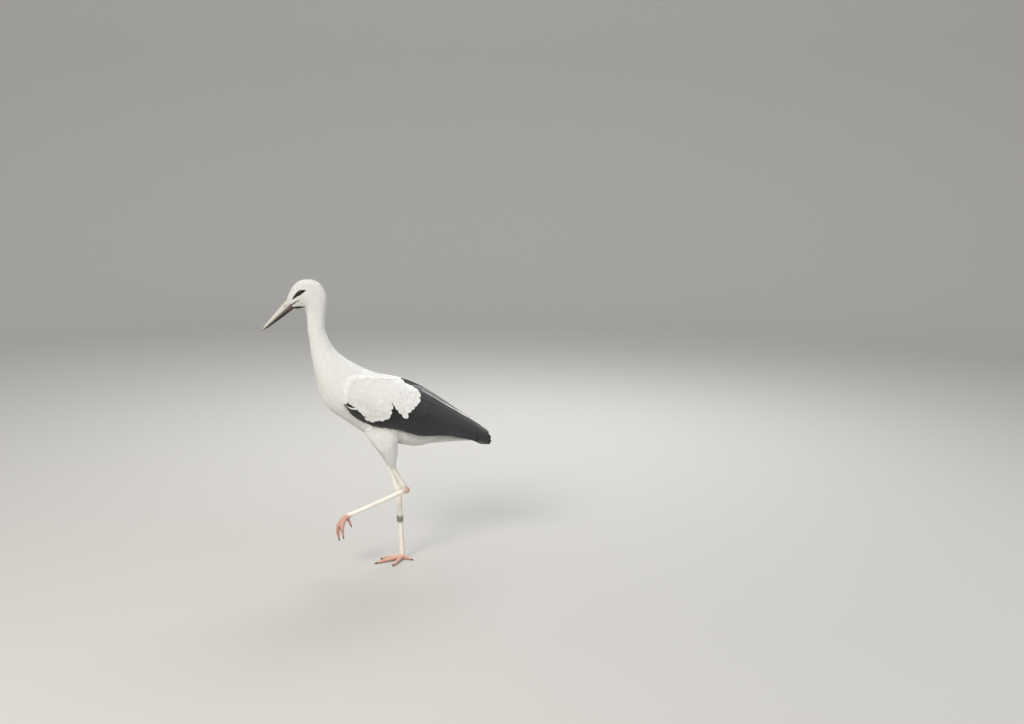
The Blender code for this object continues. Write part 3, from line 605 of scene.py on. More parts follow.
# ---- The lie of the coat ----------------------------------------------------------------------------------
@dataclass(frozen=True)
class LegLine:
    """The line of one feathered shank, from its ankle upwards."""
    side: str
    ankle: tuple[float, float, float]
    up: tuple[float, float, float]
    length: float = 0.245

    def share(self, points: np.ndarray) -> np.ndarray:
        """How far up the shank each point is, from 0 at the ankle to 1 in the belly."""
        return (points - np.array(self.ankle)) @ np.array(self.up) / self.length


LEG_LINES = [LegLine("left", (0.0045, -0.052, 0.265), (-0.479, -0.0362, 0.878)),
             LegLine("right", (-0.0125, 0.0, 0.250), (-0.285, 0.0441, 0.9585))]
BARE_BELOW = 0.37       # share of the shank that is bare
# Dark marks of the face, as strokes of (x, z, half width): bare black skin round the eye, whose front end is painted
# shadow; the gape line; and a painted crease shadow under the cheek, left bare of feathers.
EYE_PATCH_AND_SHADOW = [(-0.3585, 0.9320, 0.0008), (-0.3500, 0.9415, 0.0032), (-0.3420, 0.9490, 0.0056),
             (-0.3340, 0.9545, 0.0062), (-0.3250, 0.9585, 0.0036), (-0.3165, 0.9612, 0.0006)]
GAPE_LINE = [(-0.3680, 0.9098, 0.0014), (-0.3500, 0.9214, 0.0011), (-0.3375, 0.9290, 0.0004)]
# Painted shadow: the crease under the cheek, as a dark line of bare skin.
GULAR_SHADOW = [(-0.3600, 0.9040, 0.0020), (-0.3440, 0.9040, 0.0027), (-0.3300, 0.9050, 0.0018),
              (-0.3200, 0.9070, 0.0003)]
WHITE_FIELD = [         # rim of the white coverts over the black flight feathers, as two lobes (x, z)
    (-0.230, 0.592), (-0.191, 0.584), (-0.160, 0.565), (-0.142, 0.545), (-0.128, 0.523), (-0.100, 0.521),
    (-0.073, 0.524), (-0.056, 0.536), (-0.052, 0.556), (-0.047, 0.573), (-0.034, 0.561), (-0.023, 0.545),
    (-0.007, 0.531), (0.008, 0.548), (0.031, 0.563), (0.048, 0.583), (0.056, 0.606), (0.012, 0.640),
    (0.004, 0.700), (-0.230, 0.800)]
LOBES, FRONT_RIM = WHITE_FIELD[3:18], WHITE_FIELD[1:4]


@dataclass
class Lie:
    """Where each point of the body is along the spine, and how the coat lies there."""
    nodes: dict
    spine: np.ndarray = field(init=False)
    places: np.ndarray = field(init=False)
    heading: np.ndarray = field(init=False)

    def __post_init__(self) -> None:
        """Draws the spine as a smooth line."""
        rows = np.array([SPINE[0], *SPINE, SPINE[-1]])
        self.places = np.arange((len(SPINE) - 1) * SPINE_STEPS + 1) / SPINE_STEPS
        k = np.minimum(self.places.astype(int), len(SPINE) - 2)
        s = (self.places - k)[:, None]
        a, b, c, d = rows[k], rows[k + 1], rows[k + 2], rows[k + 3]
        self.spine = 0.5 * (2 * b + (c - a) * s + (2 * a - 5 * b + 4 * c - d) * s ** 2
                            + (3 * b - a - 3 * c + d) * s ** 3)
        self.heading = unit(np.gradient(self.spine, axis=0))
        self.body = tree_of(self.nodes, ["head", "neck", "trunk", "tail"])
        self.shank = {leg.side: tree_of(self.nodes, [f"shank_{leg.side}"]) for leg in LEG_LINES}
        self.lower = {leg.side: tree_of(self.nodes, [f"tarsus_{leg.side}", f"foot_{leg.side}"])
                      for leg in LEG_LINES}
        self.flight = tree_of(self.nodes, [WINGS["left"][1], WINGS["right"][1]])
        self.coverts = tree_of(self.nodes, [WINGS["left"][0], WINGS["right"][0]])

    def read(self, mesh: bpy.types.Mesh) -> dict[str, np.ndarray]:
        """Works out the fields of a mesh that runs round the bird.

        Args:
            mesh: the mesh at the CAD's own surface.

        Returns:
            Per vertex: points, normals, t along the spine, legs' weight, share up the shank, the lie's
            direction, coat length (reach) and depth, and masks.
        """
        points, normals = points_of(mesh), normals_of(mesh)
        side_view = points[:, [0, 2]]
        nearest = np.empty(len(points), int)
        for start in range(0, len(points), 8000):
            gap = side_view[start:start + 8000, None, :] - self.spine[None]
            nearest[start:start + 8000] = (gap ** 2).sum(2).argmin(1)
        t = self.places[nearest]
        heading = np.zeros_like(points)
        heading[:, [0, 2]] = self.heading[nearest]
        to_body = distances(points, self.body)
        leg, share = np.zeros(len(points)), np.full(len(points), 9.0)
        bare, to_legs = np.zeros(len(points)), np.full(len(points), 1.0)
        for line in LEG_LINES:
            low = points[:, 2] < 0.56
            to_leg, to_lower = np.full(len(points), 1.0), np.full(len(points), 1.0)
            to_leg[low] = distances(points[low], self.shank[line.side])
            to_lower[low] = distances(points[low], self.lower[line.side])
            near = np.minimum(to_leg, to_lower)
            to_legs = np.minimum(to_legs, near)
            weight = ramp(to_body - near, -0.004, 0.010)
            own = weight > leg
            share = np.where(own, line.share(points), share)
            leg = np.maximum(leg, weight)
            down = -unit(np.array([line.up]))
            heading = unit(heading * (1 - weight[:, None]) + down * weight[:, None])
            bare = np.maximum(bare, weight * np.maximum(ramp(line.share(points), BARE_BELOW + 0.05, BARE_BELOW),
                                                        ramp(to_lower, 0.004, 0.0)))
        heading = unit(heading - normals * (heading * normals).sum(1, keepdims=True))
        to_flight, to_coverts = distances(points, self.flight), distances(points, self.coverts)
        black = (to_flight < to_coverts) & (to_flight < to_body) & (leg < 0.5)
        length = np.minimum(along(COAT_LENGTH, t) * MM, 0.015 + 0.9 * to_legs)
        length = length * (1 - leg) + leg * (0.012 + 0.007 * ramp(share, 0.35, 0.8))
        length *= 1 - 0.55 * np.clip(4 * leg * (1 - leg), 0, 1)
        length *= 1 - 0.5 * ramp(np.abs(to_body - to_coverts), 0.012, 0.002)
        depth = along(COAT_DEPTH, t) * MM
        on_wing = ramp(to_body - to_coverts, -0.008, 0.014)
        depth = depth * (1 - on_wing) + np.minimum(depth, 2.0 * MM) * on_wing
        depth = depth * (1 - leg) + leg * (0.0055 * ramp(share, BARE_BELOW + 0.02, 0.75) + 0.0009)
        depth *= 1 - bare
        face = np.abs(points[:, 1] - MID_Y) > 0.008
        patch, gape, gular_shadow = (np.where(face & (t < 3), stroke_distance(side_view, stroke), 1.0)
                              for stroke in (EYE_PATCH_AND_SHADOW, GAPE_LINE, GULAR_SHADOW))
        nearest_edge = np.minimum.reduce([patch, gape, gular_shadow])
        bald = ramp(nearest_edge, 0.0012, 0.0006)
        length = np.where(t < 3, np.minimum(length, 0.0026 + 0.8 * np.maximum(nearest_edge, 0)), length)
        depth *= 1 - 0.6 * bald
        return {"points": points, "normals": normals, "t": t, "leg": leg, "share": share, "lie": heading,
                "bare": bare, "black": black, "to_flight": to_flight, "to_coverts": to_coverts,
                "reach": length, "depth": depth, "patch": patch, "gape": gape, "gular_shadow": gular_shadow, "bald": bald,
                "edge": nearest_edge, "to_body": to_body}


def unwrap(mesh: bpy.types.Mesh, fields: dict[str, np.ndarray], lie: Lie) -> None:
    """Unwraps a mesh round the bird: along the spine or leg one way, and round it the other way."""
    points, t, leg = fields["points"], fields["t"], fields["leg"] > 0.5
    k = np.round(t * SPINE_STEPS).astype(int)
    across = np.stack([-lie.heading[k, 1], lie.heading[k, 0]], 1)
    over = ((points[:, [0, 2]] - lie.spine[k]) * across).sum(1)
    turn = np.arctan2(points[:, 1] - MID_Y, over) / (2 * math.pi) + 0.5
    way = t / (len(SPINE) - 1)
    left = points[:, 1] < MID_Y
    for line, own in zip(LEG_LINES, (leg & left, leg & ~left)):
        share = line.share(points[own])
        foot = points[own] - np.array(line.ankle)
        middle = np.array(line.up) * (share * line.length)[:, None]
        rel = np.where(share[:, None] > 0, foot - middle, foot - foot * np.array([1, 0, 1]) * 0.98)
        turn[own] = np.arctan2(rel[:, 1], rel[:, 0] + 1e-9) / (2 * math.pi) + 0.5
        way[own] = np.clip((np.linalg.norm(foot, axis=1) * np.sign(share) + 0.28) / 0.56, 0, 1)
    column = np.where(leg, np.where(left, 1, 2), 0)
    starts, widths = np.array([0.02, 0.68, 0.84]), np.array([0.62, 0.13, 0.13])
    loops = corners_of(mesh)
    totals = np.empty(len(mesh.polygons), np.int32)
    mesh.polygons.foreach_get("loop_total", totals)
    face = np.repeat(np.arange(len(totals)), totals)
    first = np.concatenate([[0], np.cumsum(totals)[:-1]])
    lead = loops[first][face]
    u = turn[loops]
    u += np.round(turn[lead] - u)      # every corner on the same side of the seam as its face's first
    own = column[lead]
    uv = np.stack([starts[own] + widths[own] * np.clip(u, -0.04, 1.04), 0.02 + 0.96 * way[loops]], 1)
    layer = mesh.uv_layers.new(name="unwrap")
    layer.data.foreach_set("uv", uv.astype(np.float32).ravel())


def refine(mesh: bpy.types.Mesh, wanted: Callable[[Vector], bool]) -> None:
    """Halves the faces in one region, and smooths what that makes.

    Args:
        mesh: the mesh to change.
        wanted: tells from a face's middle whether it is in the region.
    """
    bm = bmesh.new()
    bm.from_mesh(mesh)
    faces = [f for f in bm.faces if wanted(f.calc_center_median())]
    edges = {e for f in faces for e in f.edges}
    found = bmesh.ops.subdivide_edges(bm, edges=list(edges), cuts=1, use_grid_fill=True)
    verts = list({v for f in faces if f.is_valid for v in f.verts}
                 | {e for e in found["geom_inner"] if isinstance(e, bmesh.types.BMVert)})
    for _ in range(2):
        bmesh.ops.smooth_vert(bm, verts=verts, factor=0.5, use_axis_x=True, use_axis_y=True, use_axis_z=True)
    bm.to_mesh(mesh)
    bm.free()
    mesh.shade_smooth()


def by_bare_face(point: Vector, reach: float) -> bool:
    """Tells whether a point is on the face, near its bare dark skin or its painted crease shadow under the cheek.

    Args:
        point: the point.
        reach: how near.

    Returns:
        True when it is.
    """
    if point.x > FACE_BEHIND or point.z < FACE_BELOW:
        return False
    place = np.array([[point.x, point.z]])
    return min(stroke_distance(place, stroke)[0] for stroke in (EYE_PATCH_AND_SHADOW, GAPE_LINE, GULAR_SHADOW)) < reach


# ---- The skin ---------------------------------------------------------------------------------------------
@dataclass
class Skin:
    """One skin over head, neck, trunk, tail, legs and feet, as deep under the CAD as the coat is thick."""
    nodes: dict
    lie: Lie
    voxel: float = 2.9 * MM
    eye_radius: float = 7.6 * MM
    lid_half_width: float = 0.66      # radians off the eye's axis, along the slit
    lid_half_height: float = 0.56
    lid_steps: int = 40

    def build(self) -> bpy.types.Object:
        """Builds, shapes and dresses the skin. Returns its object."""
        mesh = remeshed(self.nodes, FLESH, self.voxel, smoothing=3)
        refine(mesh, lambda p: p.x < FACE_BEHIND and p.z > FACE_BELOW)
        refine(mesh, lambda p: stroke_distance(np.array([[p.x, p.z]]), EYE_PATCH_AND_SHADOW)[0] < 0.005)
        refine(mesh, lambda p: p.z < 0.026 or (p.x < -0.178 and p.z < 0.205))
        fields = self.lie.read(mesh)
        under_coat = 0.4 * MM * ramp(fields["t"], 3.2, 2.2) * (1 - fields["bald"]) * (1 - fields["bare"])
        points = fields["points"] - fields["normals"] * (fields["depth"] + under_coat)[:, None]
        move(mesh, points)
        self.paint(mesh, fields)
        unwrap(mesh, fields, self.lie)
        skin = new_object("skin", mesh)
        self.add_lids(skin)
        skin.data.materials.append(BirdSkin().build())
        return hand_over(skin, FLESH)

    def paint(self, mesh: bpy.types.Mesh, fields: dict[str, np.ndarray]) -> None:
        """Stores the masks that the skin's finish reads."""
        points, bare = fields["points"], fields["bare"]
        write_attribute(mesh, "leg", bare)
        # Black skin round the eye; the front end of its patch is painted shadow.
        write_attribute(mesh, "black_skin_and_shadow", ramp(fields["patch"], 0.0030, 0.0010))
        # The gape line, and the painted crease shadow under the cheek, both in the gape's dark colour.
        write_attribute(mesh, "gape", ramp(np.minimum(fields["gape"], fields["gular_shadow"]), 0.0022, 0.0006))
        left, right = (np.linalg.norm(points - knob, axis=1) for knob in ANKLE_KNOBS)
        ankles = np.minimum(left, right + 0.006)
        left_foot = np.linalg.norm(points - np.array([-0.217, -0.052, 0.155]), axis=1)
        toes = np.maximum(ramp(points[:, 2], 0.024, 0.008), ramp(left_foot, 0.052, 0.036))
        write_attribute(mesh, "rosy", np.maximum(0.75 * ramp(ankles, 0.024, 0.008), toes))
        # Painted shade: sides facing backwards, away from the light, are darkened; the toes get a darker staining.
        shaded_back = ramp(fields["normals"][:, 0], 0.25, 0.8)
        write_attribute(mesh, "stain_and_back_shade", np.clip(shaded_back + 0.4 * toes, 0, 1))

    def add_lids(self, skin: bpy.types.Object) -> None:
        """Joins to the skin a rim of lids round each eye: a slit that rises backwards, with soft edges."""
        bm = bmesh.new()
        bm.from_mesh(skin.data)
        names = ["leg", "rosy", "stain_and_back_shade", "black_skin_and_shadow", "gape"]
        layers = {name: bm.verts.layers.float[name] for name in names}
        for side in SIDES:
            low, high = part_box(f"eye_{side}")
            centre = np.array((low + high) / 2)
            out = unit(np.array([-0.10, SIDES[side], 0.0]))
            slit = unit(np.array([0.93, 0.0, 0.36]))
            slit = unit(slit - out * slit.dot(out))
            above = np.cross(out, slit) * (1 if np.cross(out, slit)[2] > 0 else -1)
            rows = [(0.985, 1.0), (1.045, 1.02), (1.075, 1.10), (1.065, 1.22), (1.0, 1.38), (0.84, 1.6)]
            rings = []
            for radius, spread in rows:
                ring = []
                for k in range(self.lid_steps):
                    a = 2 * math.pi * k / self.lid_steps
                    pointed = 1 + 0.10 * math.cos(2 * a)
                    wide = self.lid_half_width * spread * math.cos(a) * pointed
                    tall = self.lid_half_height * spread * math.sin(a) * (1.0 if math.sin(a) < 0 else 0.86)
                    off = math.hypot(wide, tall)
                    direction = out * math.cos(off) + (slit * wide + above * tall) / max(off, 1e-9) * math.sin(off)
                    ring.append(bm.verts.new(Vector(centre + direction * self.eye_radius * radius)))
                rings.append(ring)
            for vert in (v for ring in rings for v in ring):
                vert[layers["black_skin_and_shadow"]] = 1.0
            for low_ring, high_ring in zip(rings, rings[1:]):
                for k in range(self.lid_steps):
                    m = (k + 1) % self.lid_steps
                    corners = (low_ring[k], low_ring[m], high_ring[m], high_ring[k])
                    bm.faces.new(corners if SIDES[side] < 0 else corners[::-1]).smooth = True
        bm.to_mesh(skin.data)
        bm.free()


# ---- The coat ---------------------------------------------------------------------------------------------
class Cut(Enum):
    """How the small feathers of a place are cut."""
    LANCE = "lance"         # long, narrow and split, on neck and breast
    PLUSH = "plush"         # a few short strands, on the head
    SCALE = "scale"         # a low six-sided plate
    BAND = "band"           # a plate across a toe


@dataclass(frozen=True)
class Strand:
    """One blade of a tuft, drawn from its root along +Y at a length of 1."""
    length: float
    width: float
    turn: float = 0.0       # degrees
    shift: float = 0.0      # sideways at its root
    lift: float = 0.0       # over its neighbours
    camber: float = 0.05
    rows: tuple[tuple[float, float], ...] = ((0.0, 0.3), (0.3, 0.85), (0.65, 1.0), (0.88, 0.55), (1.0, 0.0))


@dataclass
class Template:
    """A pattern feather, tuft or scale that Geometry Nodes repeat. Its size is 1 along +Y."""
    points: list = field(default_factory=list)
    faces: list = field(default_factory=list)
    maps: list = field(default_factory=list)
    rise: list = field(default_factory=list)

    def add(self, strand: Strand) -> None:
        """Adds a strand: a ridge and two edges on top, flat below."""
        angle = math.radians(strand.turn)
        ahead, across = np.array([math.sin(angle), math.cos(angle)]), np.array([math.cos(angle), -math.sin(angle)])
        start = len(self.points)
        for way, share in strand.rows:
            middle = ahead * way * strand.length + np.array([strand.shift, 0])
            half = strand.width * share / 2
            ends = [-1, 0, 1] if share > 0 else [0]
            for end in ends:
                x, y = middle + across * half * end
                high = strand.lift * way + (strand.camber * strand.width if end == 0 and share > 0 else 0.0)
                self.points.append((x, y, high))
                self.maps.append((0.5 + 0.5 * end * max(share, 0.2), way))
                self.rise.append(way * strand.length)
        last = len(strand.rows) - 1
        for k in range(last):
            a = start + 3 * k
            b = a + 3
            if k == last - 1 and strand.rows[last][1] == 0:
                self.faces += [(a, a + 1, b), (a + 1, a + 2, b), (a + 2, a, b)]
            else:
                self.faces += [(a, a + 1, b + 1, b), (a + 1, a + 2, b + 2, b + 1), (a + 2, a, b, b + 2)]
        self.faces.append((start, start + 2, start + 1))

    def add_plate(self, half_width: float, half_length: float, sides: int, height: float) -> None:
        """Adds a low dome with a rim that sinks below the surface, for one scale."""
        rings = [(1.0, -0.35), (0.82, 0.65), (0.45, 1.0)]
        for size, level in rings:
            for k in range(sides):
                a = 2 * math.pi * (k + 0.5) / sides
                self.points.append((half_width * size * math.cos(a), half_length * size * math.sin(a), level * height))
        self.points.append((0.0, 0.0, 1.05 * height))
        for ring in range(len(rings) - 1):
            for k in range(sides):
                m = (k + 1) % sides
                a = ring * sides
                self.faces.append((a + k, a + m, a + sides + m, a + sides + k))
        top = (len(rings) - 1) * sides
        self.faces += [(top + k, top + (k + 1) % sides, len(self.points) - 1) for k in range(sides)]
        self.faces.append(tuple(reversed(range(sides))))
        self.maps = [(0.5 + p[0] / (2 * half_width), 0.5 + p[1] / (2 * half_length)) for p in self.points]
        self.rise = [0.0] * len(self.points)

    def build(self, name: str) -> bpy.types.Object:
        """Makes the template's mesh, with its map and the heights that the coat reads."""
        mesh = new_mesh(name, np.array(self.points), self.faces)
        layer = mesh.uv_layers.new(name="vane")
        for loop in mesh.loops:
            layer.data[loop.index].uv = self.maps[loop.vertex_index]
        write_attribute(mesh, "rise", np.array(self.rise))
        write_attribute(mesh, "camber", np.array([p[2] for p in self.points]))
        mesh.set_sharp_from_angle(angle=math.radians(62))
        return bpy.data.objects.new(name, mesh)


def templates(cut: Cut, rng: np.random.Generator) -> bpy.types.Collection:
    """Four variants of one cut, in a collection that isn't shown.

    Args:
        cut: which cut.
        rng: the source of its unevenness.

    Returns:
        The collection.
    """
    collection = bpy.data.collections.new(f"cut_{cut.value}")
    for variant in range(4):
        template = Template()
        if cut is Cut.LANCE:
            for k in range(3):
                template.add(Strand(rng.uniform(0.85, 1.0), rng.uniform(0.17, 0.23), turn=(k - 1) * rng.uniform(4, 8),
                                    shift=(k - 1) * 0.07, lift=rng.uniform(0, 0.006), camber=0.02,
                                    rows=((0.0, 0.45), (0.4, 1.0), (0.78, 0.75), (1.0, 0.0))))
        elif cut is Cut.PLUSH:
            for k in range(4):
                template.add(Strand(rng.uniform(0.75, 1.0), rng.uniform(0.12, 0.16),
                                    turn=(k - 1.5) * rng.uniform(5, 9), shift=(k - 1.5) * 0.07,
                                    lift=rng.uniform(0, 0.02), camber=0.03, rows=((0.0, 0.5), (0.45, 1.0), (1.0, 0.0))))
        elif cut is Cut.SCALE:
            template.add_plate(0.52 * rng.uniform(0.9, 1.1), 0.52 * rng.uniform(0.9, 1.1), 6, 0.16)
        else:
            template.add_plate(0.5, 0.19 * rng.uniform(0.92, 1.08), 8, 0.075)
        collection.objects.link(template.build(f"{cut.value}_{variant}"))
    return collection


def coat_tree(scatter: bool) -> bpy.types.NodeTree:
    """The tree that lays small feathers or scales on a surface and bends each to its shape.

    Args:
        scatter: True to scatter roots over the mesh, False to use the roots' own points.

    Returns:
        A tree with named inputs. The surface holds, per vertex, lie, up, reach, depth and density.
    """
    tree = bpy.data.node_groups.new("coat_scattered" if scatter else "coat_placed", "GeometryNodeTree")
    for name, kind in (("Geometry", "Geometry"), ("Surface", "Object"), ("Spacing", "Float"), ("Seed", "Int"),
                       ("Yaw", "Float"), ("Feathers", "Collection"), ("Variants", "Int"),
                       ("Unevenness", "Float"), ("Finish", "Material")):
        tree.interface.new_socket(name, in_out="INPUT", socket_type=f"NodeSocket{kind}")
    tree.interface.new_socket("Geometry", in_out="OUTPUT", socket_type="NodeSocketGeometry")
    weave = Weaver(tree)
    given = add_node(tree, "NodeGroupInput").outputs
    surface = add_node(tree, "GeometryNodeObjectInfo", {"Object": given["Surface"]}).outputs["Geometry"]
    if scatter:
        most = weave.math("DIVIDE", 3.0, weave.math("MULTIPLY", given["Spacing"], given["Spacing"]))
        roots = add_node(tree, "GeometryNodeDistributePointsOnFaces",
                         {"Mesh": given["Geometry"], "Distance Min": given["Spacing"], "Density Max": most,
                          "Density Factor": weave.named("density", "FLOAT"), "Seed": given["Seed"]},
                         distribute_method="POISSON").outputs["Points"]
    else:
        roots = add_node(tree, "GeometryNodeMeshToPoints", {"Mesh": given["Geometry"]}).outputs["Points"]
    facing = add_node(tree, "FunctionNodeAxesToRotation",
                      {"Primary Axis": weave.named("up"), "Secondary Axis": weave.named("lie")},
                      primary_axis="Z", secondary_axis="Y").outputs[0]
    yaw = weave.random(weave.math("MULTIPLY", given["Yaw"], -1.0), given["Yaw"], 11)
    about = add_node(tree, "ShaderNodeCombineXYZ", {2: yaw}).outputs[0]
    turned = add_node(tree, "FunctionNodeRotateRotation", {0: facing, 1: about}, rotation_space="LOCAL").outputs[0]
    uneven = weave.random(weave.math("SUBTRACT", 1.0, given["Unevenness"]),
                          weave.math("ADD", 1.0, given["Unevenness"]), 12)
    sized = weave.store(roots, "size", weave.math("MULTIPLY", weave.named("reach", "FLOAT"), uneven))
    tinted = weave.store(sized, "tint", weave.random(0.0, 1.0, 13))
    feathers = add_node(tree, "GeometryNodeCollectionInfo",
                        {"Collection": given["Feathers"], "Separate Children": True, "Reset Children": True})
    pick = weave.random(0, weave.math("SUBTRACT", given["Variants"], 1.0), 14, "INT")
    laid = add_node(tree, "GeometryNodeInstanceOnPoints",
                    {"Points": tinted, "Instance": feathers.outputs[0], "Pick Instance": True,
                     "Instance Index": pick, "Rotation": turned, "Scale": weave.named("size", "FLOAT")})
    real = add_node(tree, "GeometryNodeRealizeInstances", {0: laid.outputs[0]}).outputs[0]
    where = add_node(tree, "GeometryNodeInputPosition").outputs[0]
    nearest = add_node(tree, "GeometryNodeProximity", {0: surface, "Sample Position": where},
                       target_element="FACES").outputs["Position"]
    up = add_node(tree, "GeometryNodeSampleNearestSurface",
                  {"Mesh": surface, "Value": weave.named("up"), "Sample Position": where},
                  data_type="FLOAT_VECTOR").outputs[0]
    layer = weave.math("MULTIPLY", weave.named("depth", "FLOAT"), weave.named("rise", "FLOAT"))
    height = weave.math("MULTIPLY_ADD", weave.named("camber", "FLOAT"), weave.named("size", "FLOAT"), layer)
    place = weave.vector("ADD", {0: nearest, 1: weave.vector("SCALE", {0: up, "Scale": height})})
    bent = add_node(tree, "GeometryNodeSetPosition", {"Geometry": real, "Position": place}).outputs[0]
    patch = weave.vector("MULTIPLY_ADD", {0: weave.named("vane"), 1: (BAKE_PATCH,) * 3, 2: weave.named("root_map")})
    baked = weave.store(bent, "OFBake", patch, "FLOAT2", "CORNER")
    dressed = add_node(tree, "GeometryNodeSetMaterial", {"Geometry": baked, "Material": given["Finish"]})
    add_node(tree, "NodeGroupOutput", {0: dressed.outputs[0]})
    return tree


@dataclass
class CoatPatch:
    """One piece of the coat: the feathers or scales of one place, in one mesh."""
    name: str
    cut: Cut
    spacing: float
    seed: int
    slot: str
    yaw: float = 0.14
    unevenness: float = 0.15
    scatter: bool = True

    def build(self, roots: bpy.types.Mesh, surface: bpy.types.Object, finish: bpy.types.Material,
              trees: dict) -> bpy.types.Object:
        """Lays the patch.

        Args:
            roots: mesh to scatter over, or the roots' own points, with lie, up, reach, depth and root_map.
            surface: what the feathers bend to.
            finish: their material.
            trees: the coat trees, by whether they scatter.

        Returns:
            The piece.
        """
        carrier = new_object(f"{self.name}_roots", roots)
        modifier = carrier.modifiers.new("coat", "NODES")
        modifier.node_group = trees[self.scatter]
        values = {"Surface": surface, "Spacing": self.spacing, "Seed": self.seed, "Yaw": self.yaw,
                  "Feathers": templates(self.cut, np.random.default_rng(self.seed)), "Variants": 4,
                  "Unevenness": self.unevenness, "Finish": finish}
        for item in modifier.node_group.interface.items_tree:
            if item.item_type == "SOCKET" and item.in_out == "INPUT" and item.name in values:
                modifier[item.identifier] = values[item.name]
        mesh = evaluated_mesh(carrier)
        bpy.data.objects.remove(carrier)
        feathers = values["Feathers"]
        for obj in list(feathers.objects):
            bpy.data.objects.remove(obj)
        bpy.data.collections.remove(feathers)
        keep = {"position", "tint", "rosy", "stain_and_back_shade", "vane", "OFBake", "sharp_edge", "sharp_face", "material_index"}
        for name in [a.name for a in mesh.attributes if a.name not in keep and not a.name.startswith(".")]:
            mesh.attributes.remove(mesh.attributes[name])
        mesh.uv_layers["OFBake"].active_render = True
        return hand_over(new_object(self.name, mesh), [])


COAT_PATCHES = [CoatPatch(name, cut, spacing * MM, seed, "white_feathers", yaw) for name, cut, spacing, seed, yaw in (
    ("coat_face", Cut.PLUSH, 1.1, 7, 0.2), ("coat_head", Cut.PLUSH, 2.1, 1, 0.25),
    ("coat_neck", Cut.LANCE, 3.05, 2, 0.12), ("coat_breast", Cut.LANCE, 4.3, 3, 0.12),
    ("coat_body", Cut.LANCE, 4.9, 4, 0.12), ("coat_wings", Cut.LANCE, 5.0, 5, 0.10),
    ("coat_thighs", Cut.LANCE, 3.6, 6, 0.16))]


@dataclass
class Coat:
    """All the small feathers, on a carrier that runs over body and white wing alike, so no seam shows."""
    nodes: dict
    lie: Lie
    trees: dict
    voxel: float = 2.6 * MM
    scallop_room: float = 27 * MM     # left free inside the rim of the white coverts for their last rows

    def build(self) -> None:
        """Builds the carrier and each patch of the coat."""
        mesh = remeshed(self.nodes, FLESH[:6] + WINGS["left"] + WINGS["right"], self.voxel, smoothing=6)
        refine(mesh, lambda p: by_bare_face(p, 0.008))
        refine(mesh, lambda p: by_bare_face(p, 0.004))
        fields = self.lie.read(mesh)
        points = fields["points"] - fields["normals"] * fields["depth"][:, None]
        move(mesh, points)
        reach = self.held_back(fields)
        for name, values in (("lie", fields["lie"]), ("up", fields["normals"]), ("reach", reach),
                             ("depth", np.minimum(fields["depth"] * 1.05 + 0.0003, 0.2 * reach))):
            write_attribute(mesh, name, values)
        unwrap(mesh, fields, self.lie)
        store_root_map(mesh)
        masks = self.masks(fields)
        white = WHITE_TUFT.build()
        surface = new_object("coat_surface", mesh)
        for patch in COAT_PATCHES:
            roots = mesh.copy()
            write_attribute(roots, "density", masks[patch.name])
            patch.build(roots, surface, white, self.trees)
        bpy.data.objects.remove(surface)

    def held_back(self, fields: dict[str, np.ndarray]) -> np.ndarray:
        """Coat length, cut short where a feather would lie over the black of the wing."""
        tips = fields["points"] + fields["lie"] * fields["reach"][:, None]
        reach = fields["reach"].copy()
        over = distances(tips, self.lie.flight) < 0.012
        near = fields["to_flight"] * 1.05 + 0.002
        reach = np.where(over & (fields["leg"] < 0.5), np.minimum(reach, np.maximum(near, 0.005)), reach)
        on_wing = fields["to_coverts"] < fields["to_body"]
        rim = segment_distance(fields["points"][:, [0, 2]], WHITE_FIELD[1:18])
        return np.where(on_wing, np.minimum(reach, np.maximum(rim - 0.008, 0.010)), reach)

    def masks(self, fields: dict[str, np.ndarray]) -> dict[str, np.ndarray]:
        """Where each patch of the coat grows, from 0 to 1 per vertex."""
        t, leg = fields["t"], ramp(fields["leg"], 0.45, 0.55)
        bill = distances(fields["points"], tree_of(self.nodes, ["bill_upper", "bill_lower"])) > 0.0013
        free = (1 - fields["black"]) * (fields["bald"] < 0.3) * (1 - leg) * bill
        face = (t < 1.9) & ((t < 0.55) | (fields["edge"] < 0.0065))
        wing = ramp(fields["to_coverts"] - fields["to_body"], 0.001, -0.001) * (1 - leg)
        rim = segment_distance(fields["points"][:, [0, 2]], LOBES)
        bend = segment_distance(fields["points"][:, [0, 2]], FRONT_RIM)
        laid = (rim < self.scallop_room) | (bend < 0.010) | (fields["to_flight"] < 0.003)
        free = free * np.where((wing > 0.5) & laid, 0, 1)
        breast = 1 - ramp(t, 8.6, 9.2)
        return {
            "coat_face": free * face,
            "coat_head": free * (t < HEAD_ENDS) * (1 - face),
            "coat_neck": free * (t >= HEAD_ENDS) * (t < NECK_ENDS) * (1 - wing),
            "coat_breast": free * (t >= NECK_ENDS) * breast * (1 - wing),
            "coat_body": free * (t >= NECK_ENDS) * (1 - breast) * (1 - wing),
            "coat_wings": free * wing,
            "coat_thighs": leg * ramp(fields["share"], BARE_BELOW + 0.03, BARE_BELOW + 0.06) * (1 - fields["bald"]),
        }


# ---- The large feathers -----------------------------------------------------------------------------------
@dataclass(frozen=True)
class Feather:
    """One large feather, from its root to its tip on a surface that is read by (x, v)."""
    root: tuple[float, float]
    tip: tuple[float, float]
    width: float
    layer: float = 0.0          # m over the surface at its tip
    root_layer: float = -0.002
    blunt: float = 0.5          # 0 pointed, 1 cut square
    frayed: float = 0.0         # m, how uneven its tip is
    bow: float = 0.0            # sideways bend, as a share of its length
    patch: float = 0.010        # side of its patch on the bake map


